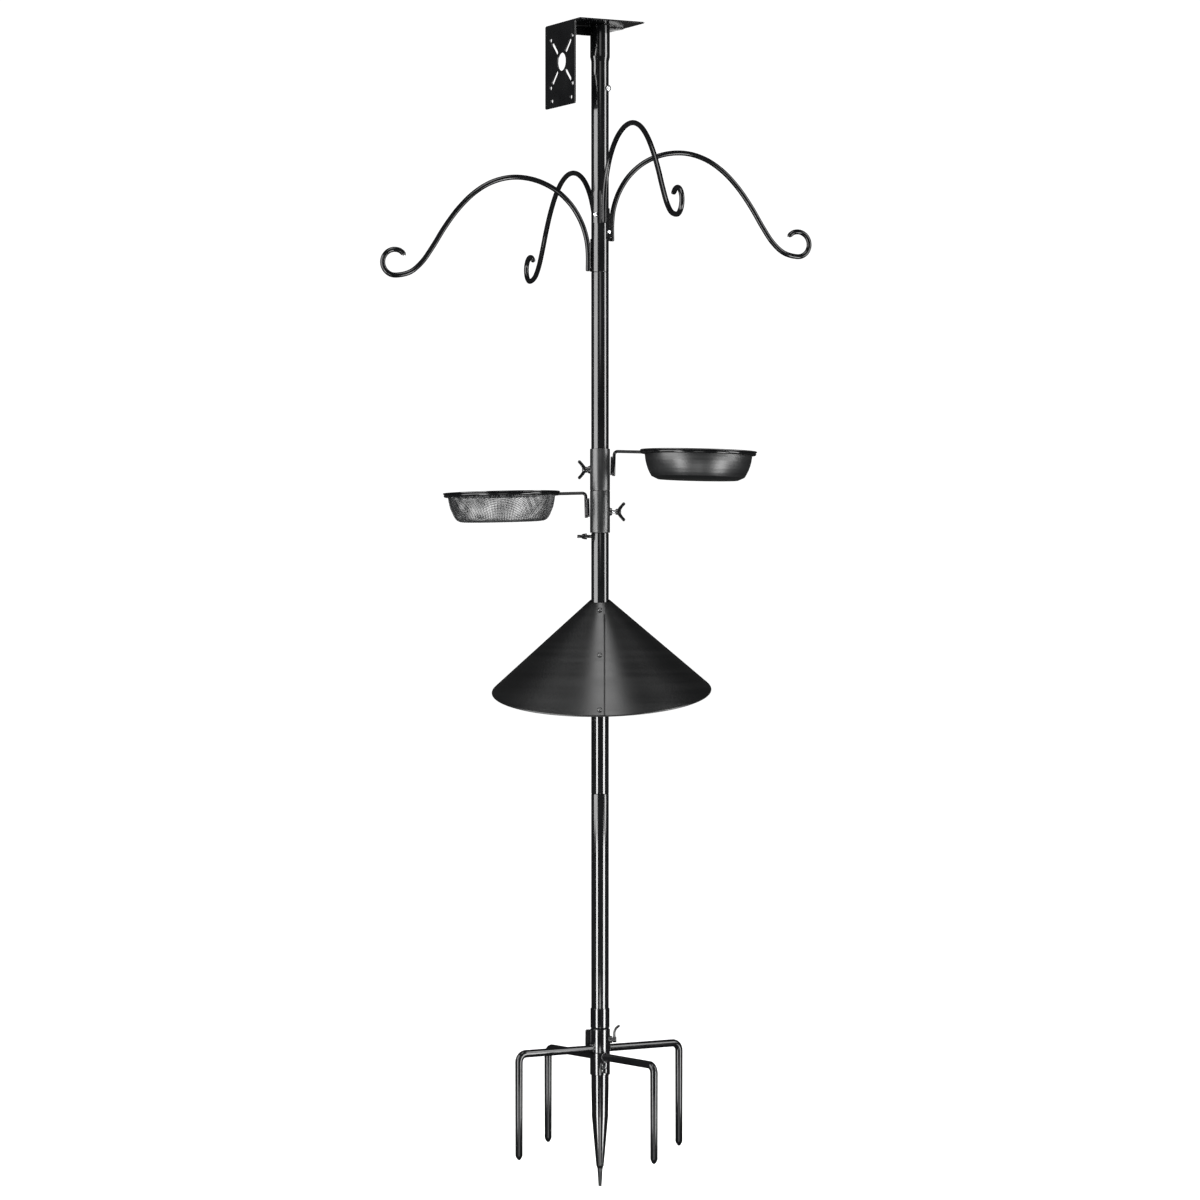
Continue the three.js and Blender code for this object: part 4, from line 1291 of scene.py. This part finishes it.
# ---- floor, light and camera ---------------------------------------------------------
FLOOR_Z = -0.186
WHITE_LEVEL, ROOM_LEVEL = 1.08, 0.03
EYE_LEVEL = 0.6648


def floor():
    """A pale floor that neither darkens nor brightens the pole's own finish."""
    finish = Finish("pale_floor")
    finish.set("Base Color", (0.95, 0.95, 0.95, 1.0))
    finish.set("Roughness", 0.9)
    finish.set("Specular IOR Level", 0.0)
    corners = [(-30, -30, FLOOR_Z), (30, -30, FLOOR_Z), (30, 60, FLOOR_Z), (-30, 60, FLOOR_Z)]
    ground = made("floor", corners, [(0, 1, 2, 3)], finish.material, smooth=False)
    ground.visible_glossy = False
    ground.visible_diffuse = False
    ground.visible_shadow = False


def softbox(name, place, target, width, height, radiance):
    """A soft light that faces a point, and is not itself seen."""
    lamp = bpy.data.lights.new(name, "AREA")
    lamp.shape, lamp.size, lamp.size_y = "RECTANGLE", width, height
    lamp.energy = radiance * math.pi * width * height
    box = bpy.data.objects.new(name, lamp)
    bpy.context.scene.collection.objects.link(box)
    box.location = place
    box.rotation_euler = (Vector(target) - Vector(place)).to_track_quat("-Z", "Y").to_euler()
    box.visible_camera = False


def surroundings():
    """White all round, which polished surfaces see as a dim room."""
    world = bpy.data.worlds.new("room")
    bpy.context.scene.world = world
    world.use_nodes = True
    nodes, links = world.node_tree.nodes, world.node_tree.links
    sky = nodes["Background"]
    path = nodes.new("ShaderNodeLightPath")
    level = nodes.new("ShaderNodeMapRange")
    level.inputs["To Min"].default_value = WHITE_LEVEL
    level.inputs["To Max"].default_value = ROOM_LEVEL
    links.new(path.outputs["Is Glossy Ray"], level.inputs["Value"])
    links.new(level.outputs["Result"], sky.inputs["Strength"])
    sky.inputs["Color"].default_value = (1.0, 1.0, 1.0, 1.0)


def studio():
    """Tall boxes beside the pole, strips beside the stake, one box over the baffle, soft fills."""
    surroundings()
    softbox("left_softbox", (-1.36, -0.84, 1.30), (0.0, 0.0, 1.30), 1.55, 1.76, 8.0)
    softbox("right_strip", (1.62, -0.42, 1.30), (0.0, 0.0, 1.30), 0.62, 1.76, 11.0)
    softbox("low_left_strip", (-1.03, -1.23, -0.12), (0.0, 0.0, -0.12), 0.50, 1.06, 21.0)
    softbox("low_right_strip", (1.31, -0.92, -0.12), (0.0, 0.0, -0.12), 0.62, 1.06, 21.0)
    softbox("top_softbox", (0.02, -0.9, 2.9), (0.02, 0.0, 0.7), 1.0, 1.2, 6.5)
    softbox("front_fill", (0.3, -4.6, 2.2), (0.0, 0.0, 0.66), 1.6, 1.2, 1.6)
    softbox("floor_bounce", (0.05, -2.2, -0.95), (0.05, 0.0, 0.85), 0.8, 1.1, 6.0)
    view = bpy.data.cameras.new("camera")
    view.lens, view.sensor_width = 120.0, 36.0
    camera = bpy.data.objects.new("camera", view)
    camera.location = (0.0, -5.8, EYE_LEVEL)
    camera.rotation_euler = (math.radians(90), 0.0, 0.0)
    bpy.context.scene.collection.objects.link(camera)
    bpy.context.scene.camera = camera
    bpy.context.scene.view_settings.view_transform = "Standard"


studio()
floor()
ground_parts()
pole()
hooks()
trays()
baffle()
bracket()
screws()
